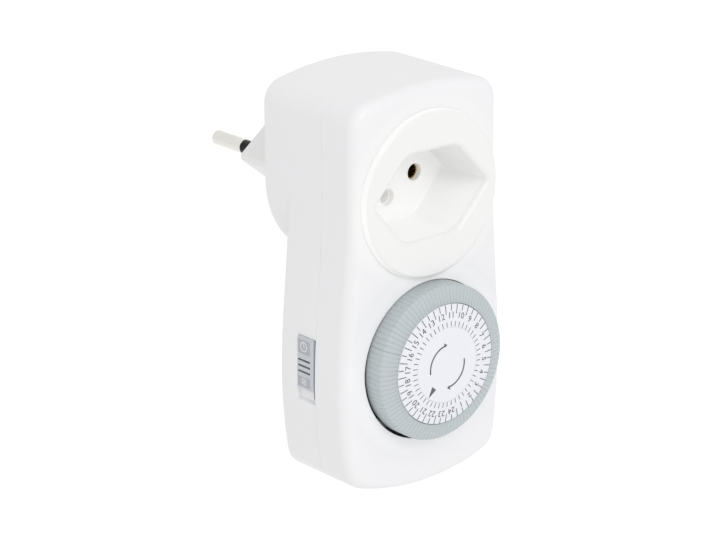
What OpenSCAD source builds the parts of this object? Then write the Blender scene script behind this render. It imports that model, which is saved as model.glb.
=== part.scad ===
// Plug-in segment timer: a socket adaptor with a 24 hour dial, 96 tappets and a side switch.
// Millimetres. Z is up, the front faces -Y. The origin is where the socket axis meets the wall plane.

/* [Housing] */
// Height of the housing above the socket axis
top_h = 29.2; // [28:0.2:34]
// Distance from the dial axis down to the bottom end
low_run = 35.5; // [34:0.5:45]
// Gap between the socket disc and the well of the dial
bridge_gap = 0.3; // [0.2:0.1:3]
// Width of the face beside the socket disc
socket_margin = 2.2; // [1.9:0.1:5]
// Width of the face beside the well of the dial
dial_margin = 5.5; // [5:0.1:8]
// Distance of the widest point below the dial axis
wide_below = 5; // [0:0.5:8]
// Inward taper of each side between the widest point and the lower corner
side_taper = 1.5; // [0.5:0.1:3]
// Fall of the arched top at 20 mm from the middle
top_fall = 2.3; // [1:0.1:3]
// Rise of the arched bottom at 20 mm from the middle
bottom_rise = 2.9; // [1:0.1:4]
// Corner radius seen from the front
corner_r = 6.4; // [5.5:0.1:8]
// Rounding of the front edge
front_round = 3; // [2:0.1:3.5]
// Rounding of the rear edges
rear_round = 2; // [1:0.1:2.4]
// Crown of the front face at 25 mm from the middle
crown = 1.15; // [0.6:0.05:1.2]
// Distance of the parting plane from the wall plane
part_d = 24.3; // [23.5:0.1:25]
// Depth of the rear boss behind the lower rear face
boss_d = 9.5; // [8:0.5:11]
// Wall thickness
wall = 2; // [1.6:0.1:2.2]
// Thickness of the front wall at its middle
front_wall = 2.4; // [2.2:0.1:2.6]

/* [Socket] */
// Width of the disc beyond the points of the recess
disc_rim = 3.25; // [2.7:0.05:3.4]
// Height of the disc over the front face
disc_proud = 1.8; // [1:0.1:3]
// Half width of the recess at its points
recess_point = 19.25; // [18.6:0.05:19.4]
// Half width of the recess along its flat edges
recess_flat = 8.6; // [7.5:0.1:9.5]
// Half height of the recess
recess_half_h = 11.6; // [10.8:0.1:12]
// Depth of the recess from the disc face
recess_d = 18; // [17:0.5:20]
// Thickness of the carrier that holds the contacts
carrier_t = 4; // [3:0.5:5]
// Room between the two contact straps
strap_room = 1.9; // [1.5:0.1:3]
// Spacing of the two power holes
pole_gap = 19; // [18.8:0.1:19.2]
// Drop of the earth hole below the power holes
earth_drop = 5; // [4.9:0.1:5.1]
// Diameter of the pin holes
hole_dia = 4.6; // [4.4:0.1:4.9]

/* [Plug] */
// Length of the plug body behind the wall plane
plug_len = 20; // [16:0.5:24]
// Half width of the plug body at its points
plug_point = 16.2; // [15.8:0.1:17]
// Half width of the plug body along its flat edges
plug_flat = 6.6; // [6:0.1:7.5]
// Half height of the plug body
plug_half_h = 8.5; // [8:0.1:9]
// Pin diameter
pin_dia = 4; // [3.9:0.05:4.1]
// Pin length beyond the plug body
pin_len = 19; // [17:0.5:21]
// Length of the insulating sleeve on each power pin
sleeve_len = 9.8; // [8:0.2:11]

/* [Dial] */
// Wall outside the teeth of the drum, from the pitch line to the edge of the number ring
drum_wall = 1.3; // [1.2:0.05:1.6]
// Length of a tappet along the radius
tappet_len = 4.8; // [4.6:0.1:5.4]
// Gap between the tappets and the well
well_gap = 1.1; // [0.8:0.1:1.4]
// Radius of the fixed centre disc
centre_r = 10.2; // [9:0.1:11]
// Height of the number ring over the front face
label_proud = 6.8; // [6.2:0.1:7.4]
// Height of the shoulder of the tappets over the front face
shoulder_proud = 4.9; // [4.4:0.1:5.2]
// Travel of a tappet when it is pushed in
tappet_travel = 2; // [1.6:0.1:2]
// Gap between two tappets
tappet_gap = 0.15; // [0.12:0.01:0.2]
// Radius of the fixed spindle
spindle_r = 2.4; // [2.2:0.05:2.6]

/* [Movement] */
// Module of all the gear teeth
tooth_m = 0.25; // [0.248:0.001:0.25]
// Running clearance of a spindle or arbor in its hole
run_clear = 0.05; // [0.03:0.01:0.08]
// Thickness of a gear plate
plate_t = 1.2; // [1:0.1:1.3]
// Outer radius of the motor
motor_r = 12; // [11.5:0.1:12.5]
// Space between the motor and the rear wall
motor_gap = 1.2; // [0.5:0.1:2]

/* [Side switch] */
// Length of the thumb plate
thumb_len = 14.5; // [12:0.5:15]
// Width of the thumb plate
thumb_w = 6.8; // [6:0.1:7]
// Travel of the side switch
thumb_travel = 3; // [2:0.5:3.5]
// Height of the top edge of the thumb plate over the dial axis
thumb_top = 7.5; // [6:0.5:8]

/* [Hidden] */
$fn = 64;
floor_t = 1.8;
cup_wall = 1.6;
strap_t = 0.6;
strap_gap = 0.5;
// Depth of the housing: the recess, the carrier, two straps, the rear wall and the boss
body_d = boss_d + wall + strap_gap + 2 * strap_t + strap_room + 0.4 + carrier_t + floor_t + recess_d - disc_proud;
front_y = -body_d;
part_y = -part_d;
rear_y = -boss_d;
inner_y = front_y + front_wall;
disc_r = recess_point + disc_rim;
ring_n = 120;
ring_pitch_r = ring_n * tooth_m / 2;
label_r = ring_pitch_r + drum_wall;
ring_r = label_r + tappet_len;
well_r = ring_r + well_gap;
dial_drop = disc_r + well_r + bridge_gap;
bottom_h = dial_drop + low_run;
dial_z = -dial_drop;
widest_drop = dial_drop + wide_below;
upper_w = 2 * (disc_r + socket_margin);
lower_w = 2 * (well_r + dial_margin);
disc_y = front_y - disc_proud;
floor_y = disc_y + recess_d;
disc_seat = 1.2;
seat_y = front_y + disc_seat;
fit_c = 0.1;
poles = [-pole_gap / 2, pole_gap / 2];
pin_r = pin_dia / 2;

// Depths inside, from the number ring back to the motor
label_t = 1.8;
web_y = front_y - label_proud + label_t;
head_gap = 0.2;
back_y = front_y - head_gap;
guide_y = back_y + tappet_travel + head_gap;
guide_t = 1.6;
gear_y = guide_y + guide_t + head_gap;
gear_w = 2.5;
skirt_end = gear_y + gear_w;
hub_end = skirt_end - 0.3;
plate_gap = 2.3;
plate1_y = skirt_end + plate_gap;
layer_t = 1.2;
layer_pitch = 1.8;
layer_gap = 0.4;
layer0_y = plate1_y + plate_t + layer_gap;
plate2_y = layer0_y + 3 * layer_pitch;
motor_y = plate2_y + plate_t;
motor_len = rear_y - wall - motor_gap - motor_y;

// Screws of the housing: pilot hole and shank, and the tip's distance behind the front wall
screw_r = 1.4;
pilot_gap = 0.05;
post_r = 3;
screw_side = 5.7;
screw_side_low = 7.7;
screw_top = 8.2;
screw_low = 8;
screw_x = upper_w / 2 - screw_side;
screw_x_low = lower_w / 2 - screw_side_low;
case_screws = [[-screw_x, top_h - screw_top], [screw_x, top_h - screw_top],
  [-screw_x_low, -bottom_h + screw_low], [screw_x_low, -bottom_h + screw_low]];
screw_tip = inner_y + 3.3;

// Screws of the movement: the upper pair stands beside the well, the lower pair near the bottom end
stud_r = 2.2;
stud_off = 4.05;
stud_turn = 44;
stud_x = (well_r + stud_off) * cos(stud_turn);
stud_z = (well_r + stud_off) * sin(stud_turn);
stud_x_low = 15.6;
stud_low = 13.4;
plate_low = 11.4;
plate_screws = [[-stud_x, dial_z + stud_z], [stud_x, dial_z + stud_z],
  [-stud_x_low, dial_z - low_run + stud_low], [stud_x_low, dial_z - low_run + stud_low]];

// Gear train: teeth of each wheel, pinion teeth, direction from each arbor to the next
pinion_n = 8;
drive_n = 10;
wheel_n = [50, 60, 64, 64, 80];
drive_dir = 250;
dir_54 = 0;
dir_43 = 90;
dir_32 = 100;
dir_21 = 150;
dir_10 = 290;
function step_to(p, dir, dist) = [p[0] + dist * cos(dir), p[1] + dist * sin(dir)];
function mesh_dist(n) = (n + pinion_n) * tooth_m / 2;
arbor5 = step_to([0, dial_z], drive_dir, (ring_n - drive_n) * tooth_m / 2);
arbor4 = step_to(arbor5, dir_54, mesh_dist(wheel_n[4]));
arbor3 = step_to(arbor4, dir_43, mesh_dist(wheel_n[3]));
arbor2 = step_to(arbor3, dir_32, mesh_dist(wheel_n[2]));
arbor1 = step_to(arbor2, dir_21, mesh_dist(wheel_n[1]));
arbor0 = step_to(arbor1, dir_10, mesh_dist(wheel_n[0]));
arbor_r = 0.42;
drive_r = 0.8;

// Phase of the gear that meets gear a (phase pa, na teeth) in direction dir
function mate(pa, na, nb, dir) = dir + 180 + 180 / nb + (dir - pa) * na / nb;
ring_phase = 0;
drive_phase = drive_dir + (ring_phase - drive_dir) * ring_n / drive_n;
phase5 = 0;
phase4 = mate(phase5, wheel_n[4], pinion_n, dir_54);
phase3 = mate(phase4, wheel_n[3], pinion_n, dir_43);
phase2 = mate(phase3, wheel_n[2], pinion_n, dir_32);
phase1 = mate(phase2, wheel_n[1], pinion_n, dir_21);
phase0 = mate(phase1, wheel_n[0], pinion_n, dir_10);

// ---- helpers -------------------------------------------------------------
// A shape drawn in x and z, as thick as y0 to y1
module slab(y0, y1) translate([0, y1, 0]) rotate([90, 0, 0]) linear_extrude(y1 - y0) children();
// A round bar along y
module rod(at, y0, y1, r) translate([at[0], y0, at[1]]) rotate([-90, 0, 0]) cylinder(h = y1 - y0, r = r);
// A profile of radius and y, turned about an axis along y
module turned(at) translate([at[0], 0, at[1]]) rotate([-90, 0, 0]) rotate_extrude() children();
// A box from its two corners
module block(a, b) translate(a) cube([b[0] - a[0], b[1] - a[1], b[2] - a[2]]);
function six(point, flat, half_h) = [[point, 0], [flat, half_h], [-flat, half_h], [-point, 0],
  [-flat, -half_h], [flat, -half_h]];
// The same hexagon with its points cut blunt
function blunt(point, flat, half_h, tip) = let (s = (point - flat) / half_h)
  [[point, tip], [flat, half_h], [-flat, half_h], [-point, tip], [-point, -tip], [-flat, -half_h],
   [flat, -half_h], [point, -tip]];
function ngon(r, n) = [for (i = [0:n - 1]) [r * cos(360 * i / n), r * sin(360 * i / n)]];
function smooth(t) = t <= 0 ? 0 : t >= 1 ? 1 : t * t * (3 - 2 * t);

// ---- outline of the housing ------------------------------------------------
function half_w(z) = z > -widest_drop
  ? upper_w / 2 + (lower_w - upper_w) / 2 * smooth(-z / widest_drop)
  : lower_w / 2 - side_taper * pow((z + widest_drop) / 20, 2);
top_cx = upper_w / 2 - corner_r;
top_tilt = atan(2 * top_fall * (top_cx + 0.2 * corner_r) / 400);
top_tx = top_cx + corner_r * sin(top_tilt);
top_cz = top_h - top_fall * pow(top_tx / 20, 2) - corner_r * cos(top_tilt);
low_x = half_w(-bottom_h + corner_r + bottom_rise) - corner_r;
low_tilt = atan(2 * bottom_rise * (low_x + 0.25 * corner_r) / 400);
low_cz = -bottom_h + bottom_rise * pow((low_x + corner_r * sin(low_tilt)) / 20, 2)
  + corner_r * cos(low_tilt);
side_tilt = atan(2 * side_taper * (-low_cz - widest_drop) / 400);
low_cx = half_w(low_cz) - corner_r / cos(side_tilt);
low_tx = low_cx + corner_r * sin(low_tilt);
side_z0 = low_cz - corner_r * sin(side_tilt);
function low_edge(x, d) = -bottom_h + d + bottom_rise * pow(x / 20, 2);
function top_edge(x, d) = top_h - d - top_fall * pow(x / 20, 2);
function arc(cx, cz, r, a0, a1, n, first) = [for (i = [first:n]) let (a = a0 + (a1 - a0) * i / n)
  [cx + r * cos(a), cz + r * sin(a)]];
// Right half from the bottom middle to the top middle, moved inward by d
function half_line(d) = let (r = corner_r - d, lx = low_cx + r * sin(low_tilt),
    tx = top_cx + r * sin(top_tilt)) concat(
  [for (i = [0:4]) let (x = lx * i / 5) [x, low_edge(x, d)]],
  arc(low_cx, low_cz, r, low_tilt - 90, -side_tilt, 6, 0),
  [for (i = [1:12]) let (z = side_z0 * (1 - i / 12)) [half_w(z) - d, z]],
  [for (i = [1:3]) [upper_w / 2 - d, top_cz * i / 4]],
  arc(top_cx, top_cz, r, 0, 90 - top_tilt, 6, 0),
  [for (i = [1:5]) let (x = tx * (5 - i) / 5) [x, top_edge(x, d)]]);
// The boss has the same top and a half round lower end about the socket axis
low_count = 23;
function boss_line(d) = let (r = corner_r - d, tx = top_cx + r * sin(top_tilt), w = upper_w / 2 - d)
  concat(
  [for (i = [0:low_count - 1]) let (a = -90 + 90 * i / low_count) [w * cos(a), w * sin(a)]],
  [for (i = [0:3]) [w, top_cz * i / 4]],
  arc(top_cx, top_cz, r, 0, 90 - top_tilt, 6, 0),
  [for (i = [1:5]) let (x = tx * (5 - i) / 5) [x, top_edge(x, d)]]);
function whole(h) = concat(h, [for (i = [len(h) - 2:-1:1]) [-h[i][0], h[i][1]]]);
function case_line(d) = whole(half_line(d));
// Rings of points at a depth y, with the crown share k
function ring_at(line, y, k) = [for (p = line) [p[0], y + k * crown * pow(p[0] / 25, 2), p[1]]];
function toward_mid(line, s) = [for (p = line)
  let (m = min(max(p[1], -bottom_h + lower_w / 2), top_h - upper_w / 2)) [p[0] * s, m + (p[1] - m) * s]];
// A closed skin through rings that run along +Y
module skin(rings) {
  n = len(rings[0]);
  k = len(rings);
  pts = [for (r = rings) for (p = r) p];
  faces = concat([[for (i = [n - 1:-1:0]) i]], [[for (i = [0:n - 1]) (k - 1) * n + i]],
    [for (j = [0:k - 2]) for (i = [0:n - 1]) let (a = j * n + i, b = j * n + (i + 1) % n)
      each [[a, b, b + n], [a, b + n, a + n]]]);
  polyhedron(points = pts, faces = faces);
}
module front_skin() skin(concat(
  [for (s = [0.08, 0.3, 0.55, 0.8]) ring_at(toward_mid(case_line(front_round), s), front_y, s > 0.1 ? 1 : 0)],
  [for (a = [90:-15:0]) ring_at(case_line(front_round * (1 - cos(a))),
    front_y + front_round * (1 - sin(a)), 1)],
  [ring_at(case_line(0), part_y, 0)]));
// Rear body: below the socket axis it steps in to the boss, above it the walls run straight on
function boss_gap(p) = p[1] > -upper_w / 2 ? 0.9 * (p[0] - sqrt(pow(upper_w / 2, 2) - p[1] * p[1])) : 99;
function step_ring(k, n) = let (h = half_line(0), g = half_line(rear_round * (1 - cos(90 * k / n))),
    y_low = rear_y - rear_round * (1 - sin(90 * k / n)),
    y_up = rear_y - rear_round + (rear_round - 0.3) * k / n,
    half = [for (i = [0:len(h) - 1]) i >= low_count ? [h[i][0], y_up, h[i][1]]
      : [max(g[i][0], h[i][0] - boss_gap(h[i])), y_low, g[i][1]]])
  concat(half, [for (i = [len(h) - 2:-1:1]) [-half[i][0], half[i][1], half[i][2]]]);
module rear_skin() skin(concat([ring_at(case_line(0), part_y, 0)],
  [for (k = [0:5]) step_ring(k, 5)],
  [ring_at(whole(boss_line(0)), rear_y, 0)],
  [for (a = [0:18:90]) ring_at(whole(boss_line(rear_round * (1 - cos(a)))),
    -rear_round * (1 - sin(a)), 0)]));

// ---- housing ---------------------------------------------------------------
well_wall = 1.2;
module front_shell() color("#f2f2f0") difference() {
  front_skin();
  // the hollow, with the screw posts and the wall of the dial well left standing
  difference() {
    union() {
      slab(inner_y, part_y + 1) polygon(case_line(front_round + 0.3));
      slab(inner_y + 1.8, part_y + 1) polygon(case_line(wall));
    }
    rod([0, dial_z], inner_y - 1, skirt_end + 0.1, well_r + well_wall);
    for (p = case_screws) rod(p, inner_y - 1, part_y + 2, post_r);
    for (p = plate_screws) rod(p, inner_y - 1, plate1_y, stud_r);
  }
  rod([0, dial_z], front_y - 1, skirt_end + 0.7, well_r);
  rod([0, 0], front_y - 1, seat_y, disc_r + fit_c);
  slab(front_y - 1, inner_y + 1) polygon(six(recess_point + cup_wall + 2 * fit_c, recess_flat + cup_wall,
    recess_half_h + cup_wall + fit_c));
  for (p = case_screws) rod(p, screw_tip - 0.5, part_y + 1, screw_r + pilot_gap);
  for (p = plate_screws) rod(p, plate1_y - 4, plate1_y + 1, small_r + 0.15);
}

head_r = 2.5;
screw_gap = 0.2;
post_wall = 1.3;
thumb_y1 = part_y + thumb_w + 2 * fit_c;
thumb_z1 = dial_z + thumb_top;
thumb_z0 = thumb_z1 - thumb_len;
module rear_shell() color("#eeeef0") difference() {
  rear_skin();
  difference() {
    union() {
      slab(part_y - 1, rear_y - wall) polygon(case_line(wall));
      slab(rear_y - wall - 1, -wall) polygon(whole(boss_line(wall)));
    }
    for (p = case_screws) rod(p, part_y - 2, 1, head_r + screw_gap + post_wall);
  }
  for (i = [0:3]) {
    rod(case_screws[i], part_y + 2, i < 2 ? 1 : rear_y + 1, head_r + screw_gap);
    rod(case_screws[i], part_y - 1, part_y + 3, screw_r + screw_gap);
  }
  slab(-wall - 1, 1) polygon(blunt(plug_point + fit_c, plug_flat + fit_c, plug_half_h + fit_c, 0.8));
  // slot of the side switch, open to the parting plane
  block([-lower_w, part_y - 1, thumb_z0 - thumb_travel - 2 * fit_c],
    [-lower_w / 2 + 8, thumb_y1, thumb_z1 + 2 * fit_c]);
}

head_t = 2;
module housing_screws() color("#b9bcc0") for (p = case_screws) {
  difference() {
    rod(p, part_y + 2, part_y + 2 + head_t, head_r);
    for (c = [[0.76, 0.14], [0.14, 0.76]]) block([p[0] - c[0] * head_r, part_y + 2 + 0.6 * head_t, p[1] - c[1] * head_r],
      [p[0] + c[0] * head_r, part_y + 3 + head_t, p[1] + c[1] * head_r]);
  }
  rod(p, screw_tip, part_y + 2, screw_r);
}

// ---- socket ----------------------------------------------------------------
disc_edge = 0.6;
hook_w = 6;
hook = 1;
module socket_insert() color("#f4f4f2") difference() {
  union() {
    turned([0, 0]) polygon([[0, disc_y], [disc_r - disc_edge, disc_y],
      [disc_r - 0.3 * disc_edge, disc_y + 0.3 * disc_edge], [disc_r, disc_y + disc_edge], [disc_r, seat_y], [0, seat_y]]);
    slab(disc_y + 1, floor_y + floor_t) polygon(six(recess_point + cup_wall, recess_flat + cup_wall - 2 * fit_c,
      recess_half_h + cup_wall));
    // hooks behind the front wall
    for (s = [-1, 1]) block([-hook_w / 2, inner_y + fit_c, s > 0 ? recess_half_h : -recess_half_h - cup_wall - hook],
      [hook_w / 2, inner_y + cup_wall, s > 0 ? recess_half_h + cup_wall + hook : -recess_half_h]);
  }
  slab(disc_y - 1, floor_y) polygon(six(recess_point, recess_flat, recess_half_h));
  for (x = poles) rod([x, 0], floor_y - 1, floor_y + floor_t + 1, hole_dia / 2);
  rod([0, -earth_drop], floor_y - 1, floor_y + floor_t + 1, hole_dia / 2);
}

carrier_y = floor_y + floor_t;
grip = 0.05;
contact_t = 0.55;
sleeve_in = pin_r + grip;
sleeve_out = sleeve_in + contact_t;
contact_y = carrier_y + fit_c;
pin_in_y = -wall + 0.5;
carrier_rim = 1.9;
out_plate_y = carrier_y + carrier_t + 0.4;
in_plate_y = out_plate_y + strap_t + strap_room;
line_end = in_plate_y + 5.2;
module contact_carrier() color("#c8b48c") difference() {
  block([poles[0] - sleeve_out - carrier_rim, carrier_y, -earth_drop - sleeve_out - carrier_rim / 2],
    [poles[1] + sleeve_out + carrier_rim, carrier_y + carrier_t, sleeve_out + carrier_rim]);
  for (x = poles) rod([x, 0], carrier_y - 1, carrier_y + carrier_t + 1, sleeve_out + grip);
  rod([0, -earth_drop], carrier_y - 1, carrier_y + carrier_t + 1, sleeve_out + grip);
}
module sleeve(at, y0, y1) difference() {
  rod(at, y0, y1, sleeve_out);
  rod(at, y0 - 1, y1 + 1, sleeve_in);
}
module socket_contacts() color("#c9a44c") {
  sleeve([poles[0], 0], contact_y, line_end);
  sleeve([poles[1], 0], contact_y, pin_in_y);
  sleeve([0, -earth_drop], contact_y, pin_in_y);
}

// ---- plug ------------------------------------------------------------------
plug_tip = 0.8;
plug_flange = 1.4;
root_r = pin_r - 0.25;
root_gap = 0.03;
pin_step = plug_len + 0.15;
pin_flange = 1;
strap_w = 3;
module plug_body() color("#efefed") difference() {
  union() {
    slab(-wall - 0.5, plug_len) polygon(blunt(plug_point, plug_flat, plug_half_h, plug_tip));
    slab(-wall - 2, -wall) polygon(blunt(plug_point + plug_flange, plug_flat + plug_flange / 2,
      plug_half_h + plug_flange, 1.5 * plug_tip));
  }
  for (p = [[poles[0], 0], [poles[1], 0], [0, -earth_drop]]) {
    rod(p, -wall - 3, plug_len + 1, root_r + root_gap);
    rod(p, -wall - 3, pin_in_y + pin_flange, sleeve_out + fit_c);
  }
  // channel of the incoming line strap
  block([poles[0] - strap_w / 2 - 2 * fit_c, -wall - 3, -sleeve_out - 2.6],
    [poles[0] + strap_w / 2 + 2 * fit_c, pin_in_y, -1]);
}
// A flange and a thinner root sit in the plug body; the neck takes the insulating sleeve
module pin(at, neck) {
  turned(at) polygon(concat([[0, pin_in_y], [sleeve_out, pin_in_y], [sleeve_out, pin_in_y + pin_flange],
    [root_r, pin_in_y + pin_flange], [root_r, pin_step]],
    neck > 0 ? [[pin_r - 0.5, pin_step], [pin_r - 0.5, plug_len + neck], [pin_r, plug_len + neck]]
      : [[pin_r, pin_step]],
    [[pin_r, plug_len + pin_len - 0.6], [pin_r - 0.5, plug_len + pin_len], [0, plug_len + pin_len]]));
}
module line_pin() color("#d6d3cc") pin([poles[0], 0], sleeve_len);
module neutral_pin() color("#d6d3cc") pin([poles[1], 0], sleeve_len);
module earth_pin() color("#d6d3cc") pin([0, -earth_drop], 0);
module pin_sleeves() color("#1c1c1e") for (x = poles) turned([x, 0])
  polygon([[pin_r - 0.48, pin_step], [pin_r, pin_step], [pin_r, plug_len + sleeve_len],
    [pin_r - 0.48, plug_len + sleeve_len]]);

// ---- dial ------------------------------------------------------------------
web_t = 1.6;
skirt_r = label_r - 0.1;
hub_r = 4;
module dial_drum() color("#d9dcdc") {
  turned([0, dial_z]) polygon([[spindle_r + run_clear, web_y], [skirt_r, web_y], [skirt_r, gear_y + 0.2],
    [skirt_r - 0.8, gear_y + 0.2], [skirt_r - 0.8, web_y + web_t], [hub_r, web_y + web_t],
    [hub_r, hub_end], [spindle_r + run_clear, hub_end]]);
  translate([0, 0, dial_z]) slab(gear_y, skirt_end) difference() {
    circle(r = skirt_r);
    polygon(gear_line(ring_n, ring_phase, 0.8, 1.25, 1.16));
  }
}
// Ring of the drum, with a guide slot for the tail of every tappet
tail_in = label_r + 1.5;
tail_out = ring_r - 1.7;
tail_w = 0.72;
tail_gap = 0.07;
tappets = 96;
pitch = 360 / tappets;
first_mark = 8;
module guide_ring() color("#c4c8ca") translate([0, 0, dial_z]) slab(guide_y, guide_y + guide_t)
  difference() {
    polygon(ngon(ring_r - 0.5, tappets));
    polygon(ngon((skirt_r + 0.05) / cos(pitch / 2), tappets));
    for (i = [0:tappets - 1]) rotate(first_mark + pitch * (i + 0.5))
      translate([tail_in - tail_gap, -tail_w / 2 - tail_gap])
        square([tail_out - tail_in + 2 * tail_gap, tail_w + 2 * tail_gap]);
  }
module number_ring() color("#ecedf1") turned([0, dial_z]) polygon([[centre_r + 0.15, web_y],
  [label_r, web_y], [label_r, web_y - label_t + 0.2], [label_r - 0.2, web_y - label_t],
  [centre_r + 0.15, web_y - label_t]]);
disc_back = web_y - 0.3;
centre_t = 2.3;
pivot_r = 1.5;
pivot_len = 1.2;
module centre_disc() color("#ecedf1") difference() {
  turned([0, dial_z]) polygon([[0, disc_back], [centre_r, disc_back], [centre_r, disc_back - centre_t + 0.3],
    [centre_r - 0.3, disc_back - centre_t], [0, disc_back - centre_t]]);
  rod([0, dial_z], disc_back - pivot_len - 0.1, disc_back + 1, pivot_r + 0.02);
}
module spindle() color("#b8bbbf") turned([0, dial_z]) polygon([[0, disc_back - pivot_len],
  [pivot_r, disc_back - pivot_len], [pivot_r, disc_back], [spindle_r, disc_back], [spindle_r, hub_end + 0.1],
  [hub_r + 0.2, hub_end + 0.1], [hub_r + 0.2, plate1_y], [spindle_r, plate1_y],
  [spindle_r, plate1_y + plate_t], [0, plate1_y + plate_t]]);

slope_r = ring_r - 0.7;
function half_wedge(r) = r * tan(pitch / 2) - tappet_gap / 2;
head_in = label_r + 0.15;
module tappet(a) translate([0, 0, dial_z]) rotate([0, -a, 0]) {
  intersection() {
    linear_extrude(2 * half_wedge(ring_r) + 2, center = true) polygon([[head_in, front_y - label_proud + 0.2],
      [slope_r, front_y - shoulder_proud - 0.5], [ring_r, front_y - shoulder_proud],
      [ring_r, back_y], [head_in, back_y]]);
    slab(front_y - label_proud - 1, front_y + 1) polygon([for (c = [[head_in - 1, 1], [ring_r + 1, 1],
      [ring_r + 1, -1], [head_in - 1, -1]]) [c[0], c[1] * half_wedge(c[0])]]);
  }
  block([tail_in, back_y - 1, -tail_w / 2], [tail_out, guide_y + guide_t + tappet_travel - 0.4, tail_w / 2]);
}
module hour_tappets(h) color("#c3cdd0") for (j = [0:3])
  tappet(first_mark - 90 + 15 * h + pitch * (j + 0.5));

// ---- gears -----------------------------------------------------------------
press_a = 20;
function involute(a) = tan(a) - a * PI / 180;
function tooth_half(n, r, fill) = let (pr = n * tooth_m / 2, b = pr * cos(press_a),
    a = acos(min(1, b / max(r, b))))
  90 / n * fill + (involute(press_a) - involute(a)) * 180 / PI;
// Outline of a gear: tip height and root depth in modules, fill 1 is a tooth as wide as its gap
function gear_line(n, phase, root_k, tip_k, fill) = let (pr = n * tooth_m / 2, b = pr * cos(press_a),
    root = pr - root_k * tooth_m, tip = pr + tip_k * tooth_m,
    steps = b > root ? [root, b + 0.01, pr, (pr + tip) / 2, tip] : [root, pr, tip])
  [for (i = [0:n - 1]) let (c = phase + 360 * i / n)
    each concat([for (r = steps) let (a = c - tooth_half(n, r, fill)) [r * cos(a), r * sin(a)]],
      [for (j = [len(steps) - 1:-1:0]) let (r = steps[j], a = c + tooth_half(n, r, fill))
        [r * cos(a), r * sin(a)]])];
module gear(n, phase) polygon(gear_line(n, phase, 1.25, 0.8, 0.84));
module at2(p) translate([p[0], 0, p[1]]) children();
function layer_y(i) = layer0_y + i * layer_pitch;
// Arbor with a wheel in one layer and a pinion in another
module wheel_set(p, n, phase, wheel_layer, pinion_layer, openings) {
  at2(p) slab(layer_y(wheel_layer), layer_y(wheel_layer) + layer_t) difference() {
    gear(n, phase);
    for (i = [0:openings - 1]) rotate(phase + 360 * i / openings)
      translate([n * tooth_m * 0.29, 0]) circle(r = n * tooth_m * 0.1, $fn = 24);
  }
  at2(p) slab(layer_y(pinion_layer) - 0.15, layer_y(pinion_layer) + layer_t + 0.15)
    gear(pinion_n, phase);
  rod(p, plate1_y, plate2_y + plate_t, arbor_r);
}
function brass() = "#c8aa5a";
module wheel_1() color(brass()) wheel_set(arbor1, wheel_n[0], phase1, 1, 0, 4);
module wheel_2() color(brass()) wheel_set(arbor2, wheel_n[1], phase2, 0, 2, 4);
module wheel_3() color(brass()) wheel_set(arbor3, wheel_n[2], phase3, 2, 1, 5);
module wheel_4() color(brass()) wheel_set(arbor4, wheel_n[3], phase4, 1, 0, 5);
module wheel_5() color(brass()) difference() {
  at2(arbor5) slab(layer_y(0), layer_y(0) + layer_t) gear(wheel_n[4], phase5);
  rod(arbor5, layer_y(0) - 1, layer_y(0) + layer_t + 1, drive_r + run_clear);
  for (i = [0:4]) rod(step_to(arbor5, 36 + 360 * i / 5, wheel_n[4] * tooth_m * 0.3), layer_y(0) - 1,
    layer_y(0) + layer_t + 1, wheel_n[4] * tooth_m * 0.095);
}
collar_r = 2;
collar_t = 0.6;
clutch_gap = 0.5;
clutch_y = layer_y(0) + layer_t;
module drive_pinion() color("#b8bbbf") {
  at2(arbor5) slab(gear_y - 0.1, skirt_end) gear(drive_n, drive_phase);
  rod(arbor5, gear_y, plate2_y + plate_t, drive_r);
  rod(arbor5, clutch_y + clutch_gap, clutch_y + clutch_gap + collar_t, collar_r);
  rod(arbor5, plate1_y + plate_t + run_clear, layer_y(0) - run_clear, collar_r);
}
module clutch_spring() color("#d8d8d2") turned(arbor5) polygon([[drive_r + 0.1, clutch_y + 0.1],
  [collar_r + 0.6, clutch_y + 0.05], [collar_r + 0.6, clutch_y + 0.25], [drive_r + 0.1, clutch_y + clutch_gap - 0.05]]);

// ---- plates and motor ------------------------------------------------------
plate_half = ring_pitch_r + 2.5;
spacer_r = 1.7;
small_r = 0.8;
rivet = 1;
ear_out = 2.4;
right_edge = [[plate_half, -low_run + plate_low], [plate_half, stud_z - 9], [stud_x + 2, stud_z - 1.6],
  [stud_x - 1.4, stud_z + 2.6], [stud_x - 6, stud_z - 1.5]];
module plate_shape() translate([0, dial_z]) polygon(concat(right_edge,
  [for (i = [4:-1:0]) [-right_edge[i][0], right_edge[i][1]]]));
module front_plate() color("#c9ccd0") difference() {
  union() {
    slab(plate1_y, plate1_y + plate_t) plate_shape();
    for (p = plate_screws) rod(p, plate1_y, plate2_y, spacer_r);
  }
  for (p = plate_screws) rod(p, plate1_y - 1, plate2_y + 1, small_r + screw_gap);
  for (p = [arbor1, arbor2, arbor3, arbor4]) rod(p, plate1_y - 1, plate1_y + plate_t + 1, arbor_r + run_clear);
  rod(arbor5, plate1_y - 1, plate1_y + plate_t + 1, drive_r + run_clear);
  rod([0, dial_z], plate1_y - 1, plate1_y + plate_t + 1, spindle_r + 0.02);
}
module rear_plate() color("#c9ccd0") difference() {
  slab(plate2_y, plate2_y + plate_t) plate_shape();
  for (p = plate_screws) rod(p, plate2_y - 1, plate2_y + plate_t + 1, small_r + screw_gap);
  for (p = [arbor1, arbor2, arbor3, arbor4]) rod(p, plate2_y - 1, plate2_y + plate_t + 1, arbor_r + run_clear);
  rod(arbor5, plate2_y - 1, plate2_y + plate_t + 1, drive_r + run_clear);
  rod(arbor0, plate2_y - 1, plate2_y + plate_t + 1, rotor_r + run_clear);
  for (p = ears) rod(p, plate2_y - 1, plate2_y + plate_t + 1, small_r + run_clear);
}
ears = [for (s = [-1, 1]) arbor0 + [s * (motor_r + ear_out), 0]];
rotor_r = 0.5;
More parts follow.
